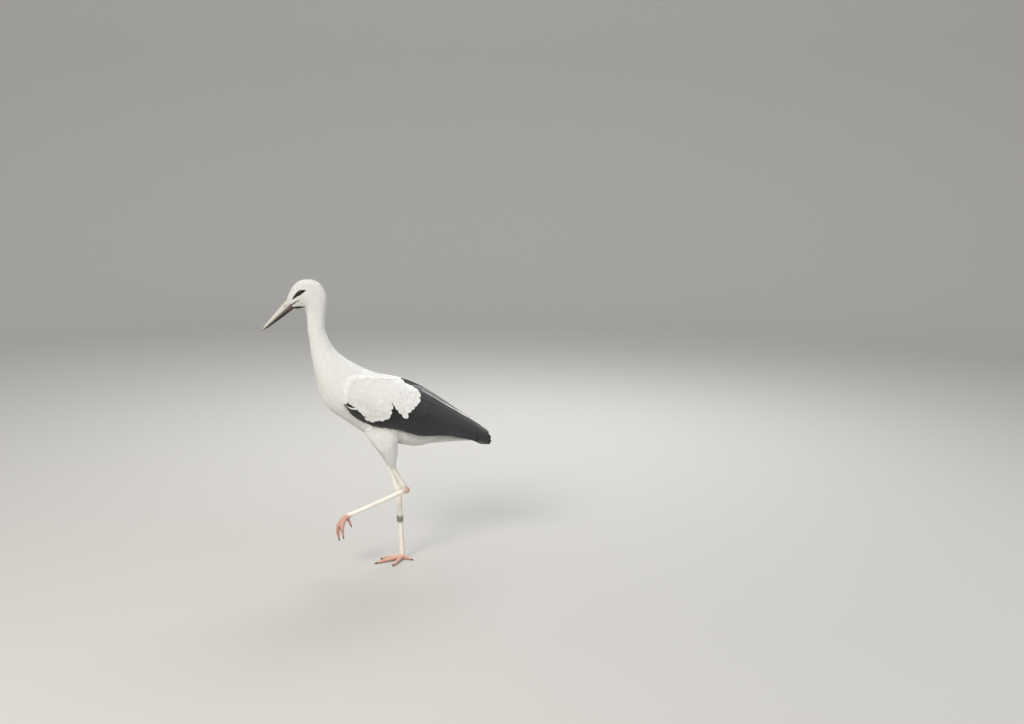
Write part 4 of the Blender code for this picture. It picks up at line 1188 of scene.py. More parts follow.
@dataclass
class Surface:
    """A smooth grid over one side of a wing or of the tail, read by x and by v, which runs across it."""
    xs: np.ndarray
    grid: np.ndarray

    def __post_init__(self) -> None:
        """Smooths the grid along x and works out how long each column is."""
        for _ in range(3):
            inner = (self.grid[:-2] + 2 * self.grid[1:-1] + self.grid[2:]) / 4
            self.grid = np.concatenate([self.grid[:1], inner, self.grid[-1:]])
        self.length = np.linalg.norm(np.diff(self.grid, axis=1), axis=2).sum(1)
        along_x, across = np.gradient(self.grid, axis=0), np.gradient(self.grid, axis=1)
        self.normals = unit(np.cross(across, along_x))
        middle = self.normals[len(self.xs) // 3, self.grid.shape[1] // 2]
        outward = self.grid[len(self.xs) // 3, self.grid.shape[1] // 2] - np.array([0.05, MID_Y, 0.52])
        if middle.dot(outward) < 0:
            self.normals = -self.normals

    def at(self, x: np.ndarray, v: np.ndarray) -> tuple[np.ndarray, np.ndarray]:
        """Places and normals at (x, v). Outside the grid it goes on straight.

        Args:
            x: along the bird.
            v: across, from 0 at the upper edge to 1 at the lower.

        Returns:
            Points (n, 3) and normals (n, 3).
        """
        i = (x - self.xs[0]) / (self.xs[1] - self.xs[0])
        j = v * (self.grid.shape[1] - 1)
        a = np.clip(np.floor(i).astype(int), 0, len(self.xs) - 2)
        b = np.clip(np.floor(j).astype(int), 0, self.grid.shape[1] - 2)
        s, r = np.clip(i - a, -3, 8)[:, None], np.clip(j - b, -1.5, 2.5)[:, None]

        def mix(table: np.ndarray) -> np.ndarray:
            """The table's rows between its four nearest entries."""
            return ((table[a, b] * (1 - s) + table[a + 1, b] * s) * (1 - r)
                    + (table[a, b + 1] * (1 - s) + table[a + 1, b + 1] * s) * r)
        return mix(self.grid), unit(mix(self.normals))

    def v_at(self, x: float, z: float) -> float:
        """The v at which the grid has height z at x."""
        samples = np.linspace(0, 1, 60)
        heights = self.at(np.full(60, x), samples)[0][:, 2]
        return float(samples[np.abs(heights - z).argmin()])


def wing_surface(nodes: dict, side: str, stations: int = 84, rows: int = 31) -> Surface:
    """The outer side of a folded wing, found with rays towards the bird's middle.

    Args:
        nodes: the CAD nodes.
        side: "left" or "right".
        stations: columns along x.
        rows: points across each column.

    Returns:
        The surface.
    """
    tree, sign = tree_of(nodes, WINGS[side]), SIDES[side]
    xs = np.linspace(-0.203, 0.297, stations)
    grid = np.zeros((stations, rows, 3))
    for i, x in enumerate(xs):
        centre = Vector((x, MID_Y, 0.541 - 0.391 * x))
        hits = []
        for a in np.radians(np.linspace(92, -84, 150)):
            way = Vector((0, sign * math.cos(a), math.sin(a)))
            hit, normal, _, _ = tree.ray_cast(centre + way * 0.3, -way)
            if hit is not None and normal.dot(way) > 0.22 and (hit.y - MID_Y) * sign > 0.006:
                hits.append(np.array(hit))
        line = np.array(hits)
        far = np.concatenate([[0], np.cumsum(np.linalg.norm(np.diff(line, axis=0), axis=1))])
        even = np.linspace(0, far[-1], rows)
        grid[i] = np.stack([np.interp(even, far, line[:, k]) for k in range(3)], 1)
    return Surface(xs, grid)


def tail_surface(nodes: dict) -> Surface:
    """The upper side of the tail."""
    tree = tree_of(nodes, ["tail"])
    xs = np.linspace(0.165, 0.258, 20)
    grid = np.zeros((20, 15, 3))
    for i, x in enumerate(xs):
        for j, y in enumerate(np.linspace(-0.0255, 0.0255, 15)):
            hit = None
            while hit is None:
                hit = tree.ray_cast(Vector((x, MID_Y + y, 0.6)), Vector((0, 0, -1)))[0]
                y *= 0.96
            grid[i, j] = hit
    return Surface(xs, grid)


@dataclass
class FeatherBed:
    """Large feathers laid on one surface, gathered in one mesh: closed thin vanes with a raised shaft."""
    surface: Surface
    rng: np.random.Generator
    steps: int = 20
    thickness: float = 0.35 * MM
    rounding: float = 0.014     # how far the middle stands over the edges, as a share of the width
    across: tuple[float, ...] = (-1.0, -0.66, -0.3, -0.055, 0.0, 0.055, 0.3, 0.66, 1.0)
    points: list = field(default_factory=list)
    faces: list = field(default_factory=list)
    vane: list = field(default_factory=list)
    bake: list = field(default_factory=list)
    tint: list = field(default_factory=list)

    def lay(self, feather: Feather) -> None:
        """Adds one feather, bent to the surface."""
        columns, rows = len(self.across), self.steps + 1
        s = (1 - (1 - np.linspace(0, 1, rows)) ** 1.5)[:, None]
        u = np.array(self.across)[None, :]
        root, tip = np.array(feather.root), np.array(feather.tip)
        length_at = np.interp(tip[0], self.surface.xs, self.surface.length)
        heading = (tip - root) * np.array([1.0, length_at])
        long = np.linalg.norm(heading)
        heading /= long
        start = 0.90 - 0.28 * (1 - feather.blunt)
        rounded = np.clip((s - start) / (1 - start), 0, 1)
        power = 1.7 + 1.3 * feather.blunt
        wide = np.minimum(1.0, 0.42 + 2.6 * s) * np.maximum(1 - rounded ** power, 0.0) ** (1 / power)
        wide = np.maximum(wide, 0.05)
        pulled = s - (0.030 * feather.blunt * np.abs(u) ** 2) * ramp(s, 0.75, 1.0)
        fray = self.rng.normal(0, 1, (1, columns)) * feather.frayed / long
        pulled = pulled + fray * ramp(s, 0.86, 1.0) * wide
        ahead = pulled * long
        side = u * wide * feather.width / 2 + feather.bow * long * np.sin(math.pi * s) + 0 * u
        x = root[0] + ahead * heading[0] - side * heading[1]
        v = root[1] + (ahead * heading[1] + side * heading[0]) / length_at
        place, normal = self.surface.at(x.ravel(), v.ravel())
        layer = feather.root_layer + (feather.layer - feather.root_layer) * np.minimum(1, 1.25 * s) + 0 * u
        shaft = np.where(np.abs(u) < 0.03, 0.35 * MM * (1 - 0.8 * s), 0.0)
        rounding = self.rounding * feather.width * (1 - u ** 2)
        high = (layer + shaft + rounding).ravel()[:, None]
        top = place + normal * high
        under = top - normal * self.thickness
        first = len(self.points)
        self.points += [*top, *under]
        count = rows * columns
        flat = np.stack([0.5 + 0.5 * u + 0 * s, s + 0 * u], 2).reshape(-1, 2)
        self.vane += [*flat, *flat]
        patch = [(x[0, 0] + 0.3) / 0.7, float(root[1])] + (flat - 0.5) * feather.patch
        self.bake += [*patch, *patch]
        self.tint += [float(self.rng.random())] * (2 * count)
        turn = np.dot(np.cross(top[columns] - top[0], top[1] - top[0]), normal[0]) > 0
        quads = []
        for i in range(rows - 1):
            for j in range(columns - 1):
                a = first + i * columns + j
                quads.append((a, a + columns, a + columns + 1, a + 1))
                b = a + count
                quads.append((b, b + 1, b + columns + 1, b + columns))
        rim = ([first + j for j in range(columns)] + [first + i * columns + columns - 1 for i in range(1, rows)]
               + [first + (rows - 1) * columns + j for j in range(columns - 2, -1, -1)]
               + [first + i * columns for i in range(rows - 2, 0, -1)])
        quads += [(a, b, b + count, a + count) for a, b in zip(rim, [*rim[1:], rim[0]])]
        self.faces += quads if turn else [q[::-1] for q in quads]

    def build(self, name: str, slot: str, finish: bpy.types.Material) -> bpy.types.Object:
        """Makes the piece of all the feathers laid."""
        mesh = new_mesh(name, np.array(self.points), self.faces)
        loops = corners_of(mesh)
        for layer_name, table in (("vane", self.vane), ("OFBake", self.bake)):
            layer = mesh.uv_layers.new(name=layer_name)
            layer.data.foreach_set("uv", np.array(table)[loops].astype(np.float32).ravel())
        mesh.uv_layers["OFBake"].active_render = True
        write_attribute(mesh, "tint", np.array(self.tint))
        mesh.set_sharp_from_angle(angle=math.radians(58))
        mesh.materials.append(finish)
        return hand_over(new_object(name, mesh), [])


@dataclass
class Wing:
    """A folded wing: a shell under the feathers, black flight feathers, and the rim of the white coverts."""
    nodes: dict
    side: str
    lie: Lie
    finishes: dict
    voxel: float = 2.6 * MM
    front: tuple = (        # the black feathers at the wing's bend: root and tip (x, z), and width
        ((-0.1950, 0.5640), (-0.0800, 0.5030), 0.018), ((-0.1980, 0.5700), (-0.1080, 0.5120), 0.020),
        ((-0.2000, 0.5760), (-0.1300, 0.5350), 0.018), ((-0.2015, 0.5810), (-0.1500, 0.5600), 0.012))
    short_rows: tuple = (-1.0, -0.125, -0.085)  # where each row of the rim starts, in x
    bend: tuple = (         # white feathers along the front rim of the coverts: root and tip (x, z)
        ((-0.1530, 0.5720), (-0.1280, 0.5230)), ((-0.1690, 0.5870), (-0.1375, 0.5390)),
        ((-0.2015, 0.5985), (-0.1665, 0.5765)), ((-0.1840, 0.6010), (-0.1500, 0.5540)),
        ((-0.1955, 0.6110), (-0.1640, 0.5690)))
    pale_front: tuple = ((-0.1995, 0.5818), (-0.1630, 0.5685), 0.0056)
    pale_edge: tuple = (    # slim white feathers along its upper edge: root and tip (x, v), and width
        ((0.060, 0.165), (0.160, 0.226), 0.0024), ((0.128, 0.215), (0.226, 0.200), 0.0042),
        ((0.168, 0.215), (0.262, 0.120), 0.0060), ((0.215, 0.165), (0.290, 0.052), 0.0050))

    def build(self) -> None:
        """Builds the wing's pieces."""
        self.surface = wing_surface(self.nodes, self.side)
        self.rng = np.random.default_rng(20 + SIDES[self.side])
        self.build_shell()
        self.lay_flight()
        self.lay_rim()

    def build_shell(self) -> None:
        """The wing under its feathers: black under the flight feathers, white under the coverts."""
        mesh = remeshed(self.nodes, WINGS[self.side], self.voxel, smoothing=3)
        fields = self.lie.read(mesh)
        points, normals = fields["points"], fields["normals"]
        black = ramp(fields["to_coverts"] - fields["to_flight"], -0.004, 0.004)
        dark = ramp(fields["to_coverts"] - fields["to_flight"], -0.010, -0.006)
        under_black = np.interp(points[:, 0], [0.1, 0.3], [2.8, 1.3]) * MM
        depth = fields["depth"] * (1 - black) * 0.92 + under_black * black
        depth *= ramp(normals[:, 1] * SIDES[self.side], -0.15, 0.15)
        move(mesh, points - normals * depth[:, None])
        mesh.materials.append(self.finishes["black_shell"])
        mesh.materials.append(self.finishes["white_shell"])
        for face in mesh.polygons:
            face.material_index = int(np.mean(dark[list(face.vertices)]) < 0.5)
        hand_over(new_object(f"wing_shell_{self.side}", mesh), WINGS[self.side])

    def lay_flight(self) -> None:
        """Lays the black feathers, from the lowest layer to the highest."""
        bed = FeatherBed(self.surface, self.rng)
        rng = self.rng
        tips = [(0.301, 1.0), (0.309, 0.86), (0.303, 0.70), (0.310, 0.56), (0.304, 0.38), (0.308, 0.16)]
        for k, (tip_x, tip_v) in enumerate(tips):
            bed.lay(Feather((-0.055 + 0.022 * k, 0.985 - 0.085 * k), (tip_x, tip_v - 0.03), 0.026,
                            -1.1 * MM + 0.18 * MM * k, -2.6 * MM, 0.45, 1.6 * MM, 0.004))
        low = [(-0.150, 0.070), (-0.115, 0.112), (-0.075, 0.150), (-0.030, 0.187)]
        for k, (root_x, tip_x) in enumerate(low):
            bed.lay(Feather((root_x, 0.93 - 0.02 * k), (tip_x, 0.955 - 0.03 * k), 0.024,
                            -0.7 * MM, -2.6 * MM, 0.6, 0.6 * MM))
        seconds = 9
        for k in range(seconds):
            share = k / (seconds - 1)
            bed.lay(Feather((-0.02 + 0.055 * share, 0.80 - 0.66 * share),
                            (0.222 + 0.030 * math.sin(5.1 * share + 0.4) + 0.028 * share, 0.86 - 0.80 * share),
                            0.027, -0.55 * MM + 0.35 * MM * share, -2.2 * MM, 0.62, 0.8 * MM,
                            float(rng.normal(0, 0.004))))
        for k in range(8):
            share = k / 7
            bed.lay(Feather((-0.035 + 0.075 * share, 0.88 - 0.74 * share),
                            (0.128 + 0.050 * share + float(rng.normal(0, 0.004)), 0.92 - 0.82 * share),
                            0.024, 0.05 * MM + 0.2 * MM * share, -2.0 * MM, 0.70, 0.5 * MM))
        for k in range(9):
            share = k / 8
            bed.lay(Feather((-0.075 + 0.110 * share, 0.90 - 0.74 * share),
                            (0.030 + 0.082 * share + float(rng.normal(0, 0.003)), 0.95 - 0.84 * share),
                            0.021, 0.3 * MM, -2.0 * MM, 0.75, 0.4 * MM))
        for k, (root, tip, width) in enumerate(self.front):
            bed.lay(Feather((root[0], self.surface.v_at(*root)), (tip[0], self.surface.v_at(*tip)), width,
                            0.1 * MM + 0.2 * MM * k, 0.2 * MM * k, 0.35, 0.3 * MM))
        bed.build(f"flight_{self.side}", "black_flight_feathers", self.finishes["black"])

    def lay_rim(self) -> None:
        """Lays the last rows of white coverts: scallops round the two lobes, and a slim line at the front."""
        bed = FeatherBed(self.surface, self.rng, steps=12, across=(-1.0, -0.6, -0.08, 0.0, 0.08, 0.6, 1.0))
        rim = np.array(LOBES)
        far = np.concatenate([[0], np.cumsum(np.linalg.norm(np.diff(rim, axis=0), axis=1))])
        hubs = np.array([[-0.112, 0.610], [0.000, 0.612]])
        notch = -0.047
        for row in range(3):
            step = 0.0180
            stops = np.arange((row % 2) * step / 2 + 0.003, far[-1], step)
            for stop in stops:
                x, z = (float(np.interp(stop, far, rim[:, k])) for k in (0, 1))
                if x < self.short_rows[row]:
                    continue
                hub = hubs[0] if x < notch - 0.002 else hubs[1]
                away = unit(np.array([x, z]) - hub)
                lie = unit(away + np.array([0.26, -0.16]))
                in_field = np.array([x, z]) - lie * (0.0200 * row - 0.0015)
                tip = in_field + lie * float(self.rng.normal(0, 0.0016))
                root = tip - lie * float(self.rng.uniform(0.040, 0.046))
                if root[0] < self.surface.xs[0]:
                    continue
                tip_v, root_v = self.surface.v_at(*tip), self.surface.v_at(*root)
                bed.lay(Feather((root[0], root_v), (tip[0], tip_v), float(self.rng.uniform(0.0205, 0.0245)),
                                0.5 * MM + 0.2 * MM * row, -2.6 * MM, 0.55, 0.25 * MM,
                                float(self.rng.normal(0, 0.02)), BAKE_PATCH))
        for k, (root, tip) in enumerate(self.bend):
            bed.lay(Feather((root[0], self.surface.v_at(*root)), (tip[0], self.surface.v_at(*tip)), 0.016,
                            0.9 * MM + 0.15 * MM * k, -2.4 * MM, 0.4, 0.25 * MM, 0.0, BAKE_PATCH))
        root, tip, width = self.pale_front
        bed.lay(Feather((root[0], self.surface.v_at(*root)), (tip[0], self.surface.v_at(*tip)), width,
                        1.7 * MM, 1.3 * MM, 0.3, 0.2 * MM, 0.0, BAKE_PATCH))
        for root, tip, width in self.pale_edge:
            bed.lay(Feather(root, tip, width, 2.1 * MM, 2.1 * MM, 0.25, 0.2 * MM, 0.0, BAKE_PATCH))
        bed.build(f"covert_rim_{self.side}", "white_feathers", self.finishes["white"])


@dataclass
class Tail:
    """Twelve white tail feathers, the middle pair on top."""
    nodes: dict
    finish: bpy.types.Material

    def build(self) -> None:
        """Lays them from the sides to the middle."""
        bed = FeatherBed(tail_surface(self.nodes), np.random.default_rng(31))
        for k in range(6):
            for end in (-1, 1):
                share = 1 - k / 5.4
                tip = 0.2615 - 0.004 * share
                bed.lay(Feather((0.150, 0.5 + end * 0.30 * share), (tip, 0.5 + end * 0.42 * share), 0.015,
                                -0.9 * MM + 0.2 * MM * k, -2.0 * MM, 0.75, 0.7 * MM))
        bed.build("tail_feathers", "white_feathers", self.finish)


# ---- Bill, eyes, claws, scales and leg band ---------------------------------------------------------------
@dataclass
class Bill:
    """Both halves of the bill, with a nostril slit and the fine line along which it closes."""
    nodes: dict
    finish: bpy.types.Material
    root: tuple[float, float] = (-0.3638, 0.9131)
    tip: tuple[float, float] = (-0.4550, 0.8345)
    voxel: float = 0.75 * MM
    nostril: tuple[float, float, float] = (0.125, 0.0150, 0.0105)   # way along, length, height over the line
    groove: float = 1.9 * MM

    def build(self) -> None:
        """Builds both halves."""
        root, tip = np.array(self.root), np.array(self.tip)
        ahead = (tip - root) / np.linalg.norm(tip - root)
        above = np.array([ahead[1], -ahead[0]]) * (1 if -ahead[0] > 0 else -1)
        for name in ("bill_upper", "bill_lower"):
            mesh = remeshed(self.nodes, [name], self.voxel, smoothing=2)
            points, normals = points_of(mesh), normals_of(mesh)
            rel = points[:, [0, 2]] - root
            way = rel @ ahead / np.linalg.norm(tip - root)
            rise = rel @ above
            side = np.abs(points[:, 1] - MID_Y)
            if name == "bill_upper":
                place, length, height = self.nostril
                along_slit = (way - place) * np.linalg.norm(tip - root) / (length / 2)
                over = (rise - height - 0.0006 * along_slit) / 0.0009
                slit = np.clip(1 - (along_slit ** 2 + over ** 2), 0, 1) ** 0.6 * (side > 0.002)
                furrow = ramp(np.abs(rise - height * (1 - 0.5 * way)) / 0.0022, 1, 0) * ramp(way, 0.62, 0.25)
                points -= normals * (slit * self.groove + furrow * 0.22 * MM * (side > 0.002))[:, None]
            points[:, [0, 2]] -= ahead * (ramp(way, 0.035, 0.0) * 3.2 * MM)[:, None]
            move(mesh, points)
            tall = np.interp(way, [0, 0.25, 0.6, 1], [0.0185, 0.0150, 0.0098, 0.002])
            deep = np.interp(way, [0, 0.25, 0.6, 1], [0.0160, 0.0132, 0.0088, 0.002])
            write_attribute(mesh, "bill_height", np.where(rise > 0, rise / tall, rise / deep))
            write_attribute(mesh, "bill_way", way)
            write_attribute(mesh, "slit", slit if name == "bill_upper" else np.zeros(len(way)))
            mesh.materials.append(self.finish)
            hand_over(new_object(f"horn_{name}", mesh), [name])


@dataclass
class Eye:
    """A whole eyeball in its socket, with a cornea that stands out a little."""
    side: str
    finish: bpy.types.Material
    radius: float = 7.6 * MM
    bulge: float = 0.35 * MM

    def build(self) -> None:
        """Builds the eyeball about the middle of its CAD node."""
        low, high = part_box(f"eye_{self.side}")
        centre = np.array((low + high) / 2)
        out = unit(np.array([-0.10, SIDES[self.side], 0.0]))
        bm = bmesh.new()
        bmesh.ops.create_icosphere(bm, subdivisions=4, radius=1.0)
        mesh = bpy.data.meshes.new(f"eyeball_{self.side}")
        bm.to_mesh(mesh)
        bm.free()
        ways = unit(points_of(mesh))
        angle = np.arccos(np.clip(ways @ out, -1, 1))
        size = self.radius + self.bulge * np.exp(-(angle / 0.55) ** 2)
        move(mesh, centre + ways * size[:, None])
        write_attribute(mesh, "eye_angle", angle / (math.pi / 2))
        mesh.shade_smooth()
        mesh.materials.append(self.finish)
        hand_over(new_object(f"eyeball_{self.side}", mesh), [f"eye_{self.side}"])


def build_claws(nodes: dict, finish: bpy.types.Material) -> None:
    """Rounds each CAD claw and pushes its root into the toe's end.

    Args:
        nodes: the CAD nodes.
        finish: claw horn.
    """
    for name in sorted(n for n in nodes if n.startswith("claw_")):
        source = new_object("claw_source", merged(nodes, [name], grow=0.25 * MM))
        rounder = source.modifiers.new("round", "SUBSURF")
        rounder.levels = rounder.render_levels = 2
        mesh = evaluated_mesh(source)
        bpy.data.objects.remove(source)
        toe = nodes["foot_left" if name.endswith("left") else "foot_right"]
        tree = tree_of({"toe": toe}, ["toe"])
        points = points_of(mesh)
        gap = distances(points, tree)
        root = points[gap.argmin()]
        centre = points.mean(0)
        back = unit(root - centre)
        points += back * (ramp(gap, 0.003, 0.0) * 1.6 * MM)[:, None]
        points[:, 2] = np.maximum(points[:, 2], 0.0) if name.endswith("right") else points[:, 2]
        move(mesh, points)
        mesh.shade_smooth()
        mesh.materials.append(finish)
        hand_over(new_object(f"nail_{name[5:]}", mesh), [name])


@dataclass(frozen=True)
class Toe:
    """The middle line of a toe (x, y, z) and its radii, for the scales across it."""
    foot: str
    points: tuple[tuple[float, float, float], ...]
    radii: tuple[float, ...]


LEFT_HUB = (-0.2030, -0.052, 0.1870)
TOES = [
    Toe("right", ((0.000, -0.001, 0.008), (-0.012, -0.018, 0.006), (-0.026, -0.038, 0.0055),
                  (-0.038, -0.055, 0.005), (-0.045, -0.064, 0.003)), (0.0088, 0.0074, 0.0067, 0.0060, 0.0040)),
    Toe("right", ((-0.001, 0.000, 0.008), (-0.024, -0.006, 0.006), (-0.050, -0.013, 0.0055),
                  (-0.077, -0.020, 0.005), (-0.096, -0.025, 0.003)), (0.0092, 0.0078, 0.0071, 0.0062, 0.0042)),
    Toe("right", ((0.000, 0.001, 0.008), (-0.019, 0.007, 0.006), (-0.038, 0.011, 0.0055),
                  (-0.056, 0.013, 0.005), (-0.068, 0.014, 0.003)), (0.0088, 0.0073, 0.0066, 0.0058, 0.0040)),
    Toe("right", ((0.001, -0.001, 0.008), (0.011, -0.009, 0.006), (0.020, -0.018, 0.005),
                  (0.027, -0.026, 0.003)), (0.0088, 0.0070, 0.0057, 0.0040)),
    Toe("left", ((0.001, 0.002, 0.000), (-0.010, 0.007, -0.013), (-0.018, 0.013, -0.034),
                 (-0.013, 0.015, -0.058)), (0.0078, 0.0068, 0.0062, 0.0038)),
    Toe("left", ((0.000, 0.000, 0.001), (-0.016, 0.000, -0.011), (-0.028, 0.000, -0.031),
                 (-0.0295, 0.000, -0.055), (-0.0255, 0.000, -0.0745)), (0.0082, 0.0074, 0.0068, 0.0060, 0.0040)),
    Toe("left", ((0.001, -0.002, 0.000), (-0.009, -0.009, -0.014), (-0.017, -0.015, -0.037),
                 (-0.0135, -0.018, -0.063)), (0.0078, 0.0068, 0.0062, 0.0038)),
]


@dataclass
class LegScales:
    """Six-sided plates over the bare legs, and broad plates across the tops of the toes."""
    lie: Lie
    trees: dict
    finishes: dict
    spacing: float = 2.5 * MM
    toe_spacing: float = 3.6 * MM

    def build(self, skin: bpy.types.Object) -> None:
        """Lays the plates on the finished skin.

        Args:
            skin: the skin's object, whose mesh the plates bend to.
        """
        surface = new_object("scale_surface", skin.data.copy())
        mesh = surface.data
        points, normals = points_of(mesh), normals_of(mesh)
        legs = read_attribute(mesh, "leg")
        down = np.zeros_like(points)
        for line, low_way in zip(LEG_LINES, ((-0.93, 0.0, -0.36), (0.03, 0.0, -1.0))):
            own = (points[:, 1] < MID_Y - 0.004) if line.side == "left" else (points[:, 1] >= MID_Y - 0.004)
            above = line.share(points) > 0.02
            down[own] = np.where(above[own, None], -np.array(line.up), np.array(low_way))
        down = unit(down - normals * (down * normals).sum(1, keepdims=True))
        size = np.full(len(points), self.spacing * 1.12)
        knob = np.minimum(*(np.linalg.norm(points - knob, axis=1) for knob in ANKLE_KNOBS))
        size *= 1 - 0.25 * ramp(knob, 0.03, 0.01)
        for name, values in (("lie", down), ("up", normals), ("reach", size),
                             ("depth", np.zeros(len(points)))):
            write_attribute(mesh, name, values)
        store_root_map(mesh)
        band = (points[:, 2] > 0.134) & (points[:, 2] < 0.160) & (points[:, 1] > -0.02)
        roots = mesh.copy()
        write_attribute(roots, "density", (legs > 0.75) * 1.0 * ~band)
        CoatPatch("scales_legs", Cut.SCALE, self.spacing, 41, "leg_skin", 0.3, 0.10).build(
            roots, surface, self.finishes["leg"], self.trees)
        self.lay_toes(surface)
        bpy.data.objects.remove(surface)

    def lay_toes(self, surface: bpy.types.Object) -> None:
        """Lays the plates across the toes, from points of their own."""
        tree = BVHTree.FromPolygons([v.co.copy() for v in surface.data.vertices],
                                    [tuple(p.vertices) for p in surface.data.polygons])
        rows = []
        for toe in TOES:
            line = np.array(toe.points) + (np.array(LEFT_HUB) if toe.foot == "left" else 0)
            far = np.concatenate([[0], np.cumsum(np.linalg.norm(np.diff(line, axis=0), axis=1))])
            for stop in np.arange(0.010, far[-1] - 0.001, self.toe_spacing):
                middle = np.array([np.interp(stop, far, line[:, k]) for k in range(3)])
                ahead = unit(np.array([[np.interp(stop + 0.001, far, line[:, k])
                                        - np.interp(stop - 0.001, far, line[:, k]) for k in range(3)]]))[0]
                outward = np.array([0.0, 0, 1]) if toe.foot == "right" else np.array([-0.93, 0, 0.35])
                outward = unit(outward - ahead * outward.dot(ahead))
                hit = tree.ray_cast(Vector(middle + outward * 0.03), Vector(-outward))[0]
                if hit is None:
                    continue
                radius = float(np.interp(stop, far, toe.radii))
                rows.append((np.array(hit), ahead, outward, radius * 1.75))
        mesh = bpy.data.meshes.new("toe_roots")
        mesh.from_pydata([tuple(row[0]) for row in rows], [], [])
        for name, values in (("lie", np.array([r[1] for r in rows])), ("up", np.array([r[2] for r in rows])),
                             ("reach", np.array([r[3] for r in rows])), ("depth", np.zeros(len(rows))),
                             ("root_map", np.array([[0.7 + r[0][0] * 0.3, 0.03 + abs(r[0][2]) * 0.3, 0]
                                                    for r in rows]))):
            write_attribute(mesh, name, values)
        CoatPatch("scutes_toes", Cut.BAND, self.spacing, 42, "foot_skin", 0.03, 0.04, scatter=False).build(
            mesh, surface, self.finishes["toe"], self.trees)


@dataclass
class LegBand:
    """A plain closed band round the standing leg, turned from a profile with rounded rims."""
    finish: bpy.types.Material
    inner: float = 9.9 * MM
    outer: float = 11.4 * MM
    steps: int = 96

    def build(self) -> None:
        """Builds the band."""
        low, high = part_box("leg_ring")
        centre = (low + high) / 2
        r = (self.outer - self.inner) / 2 * 0.7
        profile = []
        for cx, cz, first in ((self.outer - r, high[2] - r, 0), (self.inner + r, high[2] - r, 90),
                              (self.inner + r, low[2] + r, 180), (self.outer - r, low[2] + r, 270)):
            profile += [(cx + r * math.cos(math.radians(first + a)), cz + r * math.sin(math.radians(first + a)))
                        for a in (0, 30, 60, 90)]
        points, faces = [], []
        for k in range(self.steps):
            a = 2 * math.pi * k / self.steps
            points += [(centre[0] + p * math.cos(a), centre[1] + p * math.sin(a), z) for p, z in profile]
        count = len(profile)
        for k in range(self.steps):
            m = (k + 1) % self.steps
            for j in range(count):
                n = (j + 1) % count
                faces.append((k * count + j, m * count + j, m * count + n, k * count + n))
        mesh = new_mesh("band", points, faces)
        mesh.materials.append(self.finish)
        hand_over(new_object("band", mesh), ["leg_ring"])


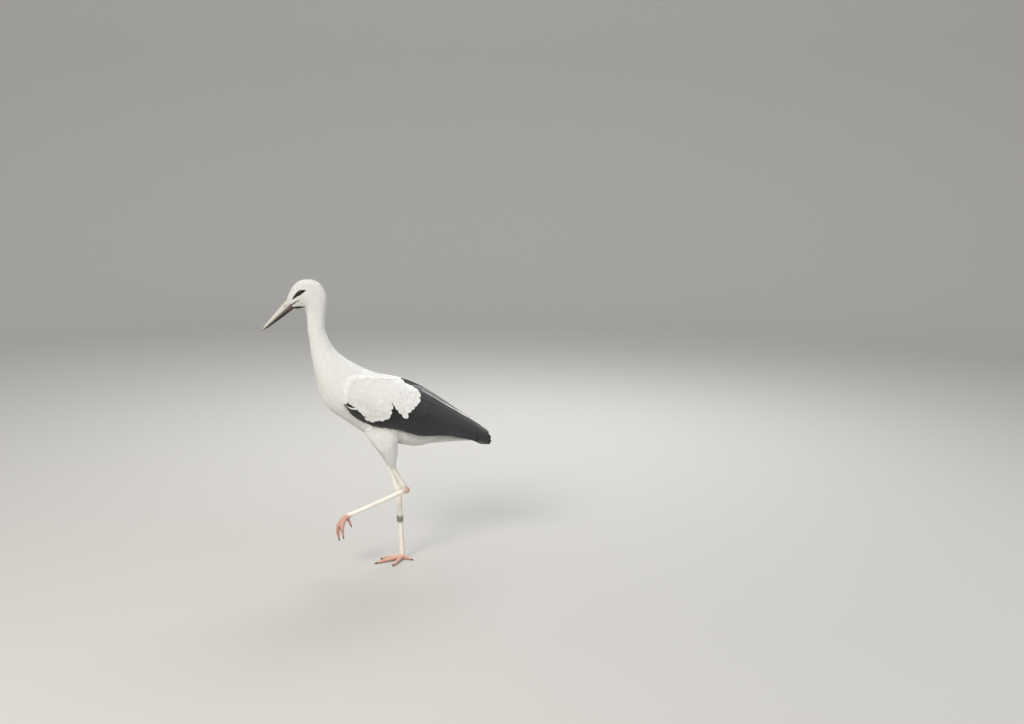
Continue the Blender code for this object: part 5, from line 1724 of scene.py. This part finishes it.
# ---- The studio -------------------------------------------------------------------------------------------
@dataclass
class Studio:
    """A plain pale floor that curves up all round, a large soft light on the bird's left and a fill."""
    finish: bpy.types.Material
    key_power: float = 165.0
    fill_power: float = 40.0
    wall_power: float = 90.0
    back_power: float = 60.0
    sides: int = 96

    def build(self) -> None:
        """Builds the floor, the lights, the world and the camera."""
        self.build_floor()
        self.add_light("key_light", (-2.6, -2.6, 3.2), 1.6, self.key_power, "#FFFAF2")
        self.add_light("fill_light", (2.8, -2.4, 1.8), 2.6, self.fill_power, "#EEF3FF")
        self.add_light("back_light", (1.4, 2.2, 2.8), 1.8, self.back_power, "#FFFFFF")
        self.add_light("wall_light", (0.6, 1.5, 4.6), 4.0, self.wall_power, "#FFFFFF", (2.5, 8.0, 1.2))
        world = bpy.data.worlds.new("studio_world")
        world.use_nodes = True
        world.node_tree.nodes["Background"].inputs["Color"].default_value = linear("#E8EAEC")
        world.node_tree.nodes["Background"].inputs["Strength"].default_value = 0.85
        bpy.context.scene.world = world
        bpy.context.scene.view_settings.view_transform = "Standard"
        self.add_camera()

    def build_floor(self) -> None:
        """A round sheet that is flat under the bird and bends up into a wall all round."""
        profile = [(0.8, 0.0), (2.0, 0.0), (4.0, 0.0), (6.0, 0.0)]
        profile += [(6.0 + 2.5 * math.sin(math.radians(a)), 2.5 - 2.5 * math.cos(math.radians(a)))
                    for a in range(6, 91, 6)] + [(8.5, 4.5)]
        points = [(0.0, 0.0, 0.0)]
        for far, high in profile:
            points += [(far * math.cos(2 * math.pi * k / self.sides), far * math.sin(2 * math.pi * k / self.sides),
                        high) for k in range(self.sides)]
        faces = [(0, 1 + k, 1 + (k + 1) % self.sides) for k in range(self.sides)]
        for row in range(len(profile) - 1):
            a = 1 + row * self.sides
            faces += [(a + k, a + self.sides + k, a + self.sides + (k + 1) % self.sides, a + (k + 1) % self.sides)
                      for k in range(self.sides)]
        mesh = new_mesh("floor", np.array(points) - np.array([0, 0, 0.0002]), faces)
        mesh.materials.append(self.finish)
        new_object("floor", mesh)

    def add_light(self, name: str, place: tuple[float, float, float], size: float, power: float,
                  colour: str, aim: tuple[float, float, float] = (-0.08, MID_Y, 0.5)) -> None:
        """Adds one square soft light, which faces the bird unless it is aimed elsewhere.

        Args:
            name: its name.
            place: where it stands.
            size: its side, m.
            power: W.
            colour: hex colour.
            aim: the point that it faces.
        """
        light = bpy.data.lights.new(name, "AREA")
        light.size, light.energy, light.color = size, power, linear(colour)[:3]
        obj = bpy.data.objects.new(name, light)
        obj.location = place
        obj.rotation_euler = (Vector(aim) - Vector(place)).to_track_quat("-Z", "Y").to_euler()
        bpy.context.scene.collection.objects.link(obj)

    def add_camera(self) -> None:
        """The camera, at a standing child's eye height and a little in front of the bird's left side."""
        camera = bpy.data.cameras.new("camera")
        camera.sensor_width = 36.0
        camera.lens = 40.43
        camera.clip_start, camera.clip_end = 0.05, 60
        obj = bpy.data.objects.new("camera", camera)
        obj.location = (-0.808, -3.803, 1.36)
        turn, tilt = math.radians(17.68), math.radians(-9.672)
        ahead = Vector((math.sin(turn) * math.cos(tilt), math.cos(turn) * math.cos(tilt), math.sin(tilt)))
        obj.rotation_euler = ahead.to_track_quat("-Z", "Y").to_euler()
        bpy.context.scene.collection.objects.link(obj)
        bpy.context.scene.camera = obj


def main() -> None:
    """Builds the bird's looks piece by piece, then the studio."""
    logging.basicConfig(level=logging.INFO, format="%(relativeCreated)6.0f %(message)s")
    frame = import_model()
    nodes = frame["nodes"]
    lie = Lie(nodes)
    trees = {True: coat_tree(True), False: coat_tree(False)}
    finishes = {
        "white": WHITE_VANE.build(), "black": BLACK_VANE.build(),
        "white_shell": Plain("white_shell", "#E9E6DF", 0.85).build(),
        "black_shell": Plain("black_shell", "#18191B", 0.75).build(),
        "leg": Scute("leg_scale", "#E0D6C7", "#F2EFE7", 0.62).build(),
        "toe": Scute("toe_scute", "#C79887", "#D9B6A9", 0.35).build(),
    }
    skin = Skin(nodes, lie).build()
    Coat(nodes, lie, trees).build()
    for side in SIDES:
        Wing(nodes, side, lie, finishes).build()
        Eye(side, EyeGlass().build()).build()
    Tail(nodes, finishes["white"]).build()
    Bill(nodes, BillHorn().build()).build()
    build_claws(nodes, Plain("claw_keratin", "#4A3F38", 0.45, grain=1.5 * MM, relief=0.1 * MM).build())
    LegScales(lie, trees, finishes).build(skin)
    LegBand(Plain("band_metal", "#8C9488", 0.48, 0.65, 1.2 * MM, 0.05 * MM).build()).build()
    Studio(Plain("studio_floor", "#B4B2AE", 0.85).build()).build()


if __name__ == "__main__":
    main()
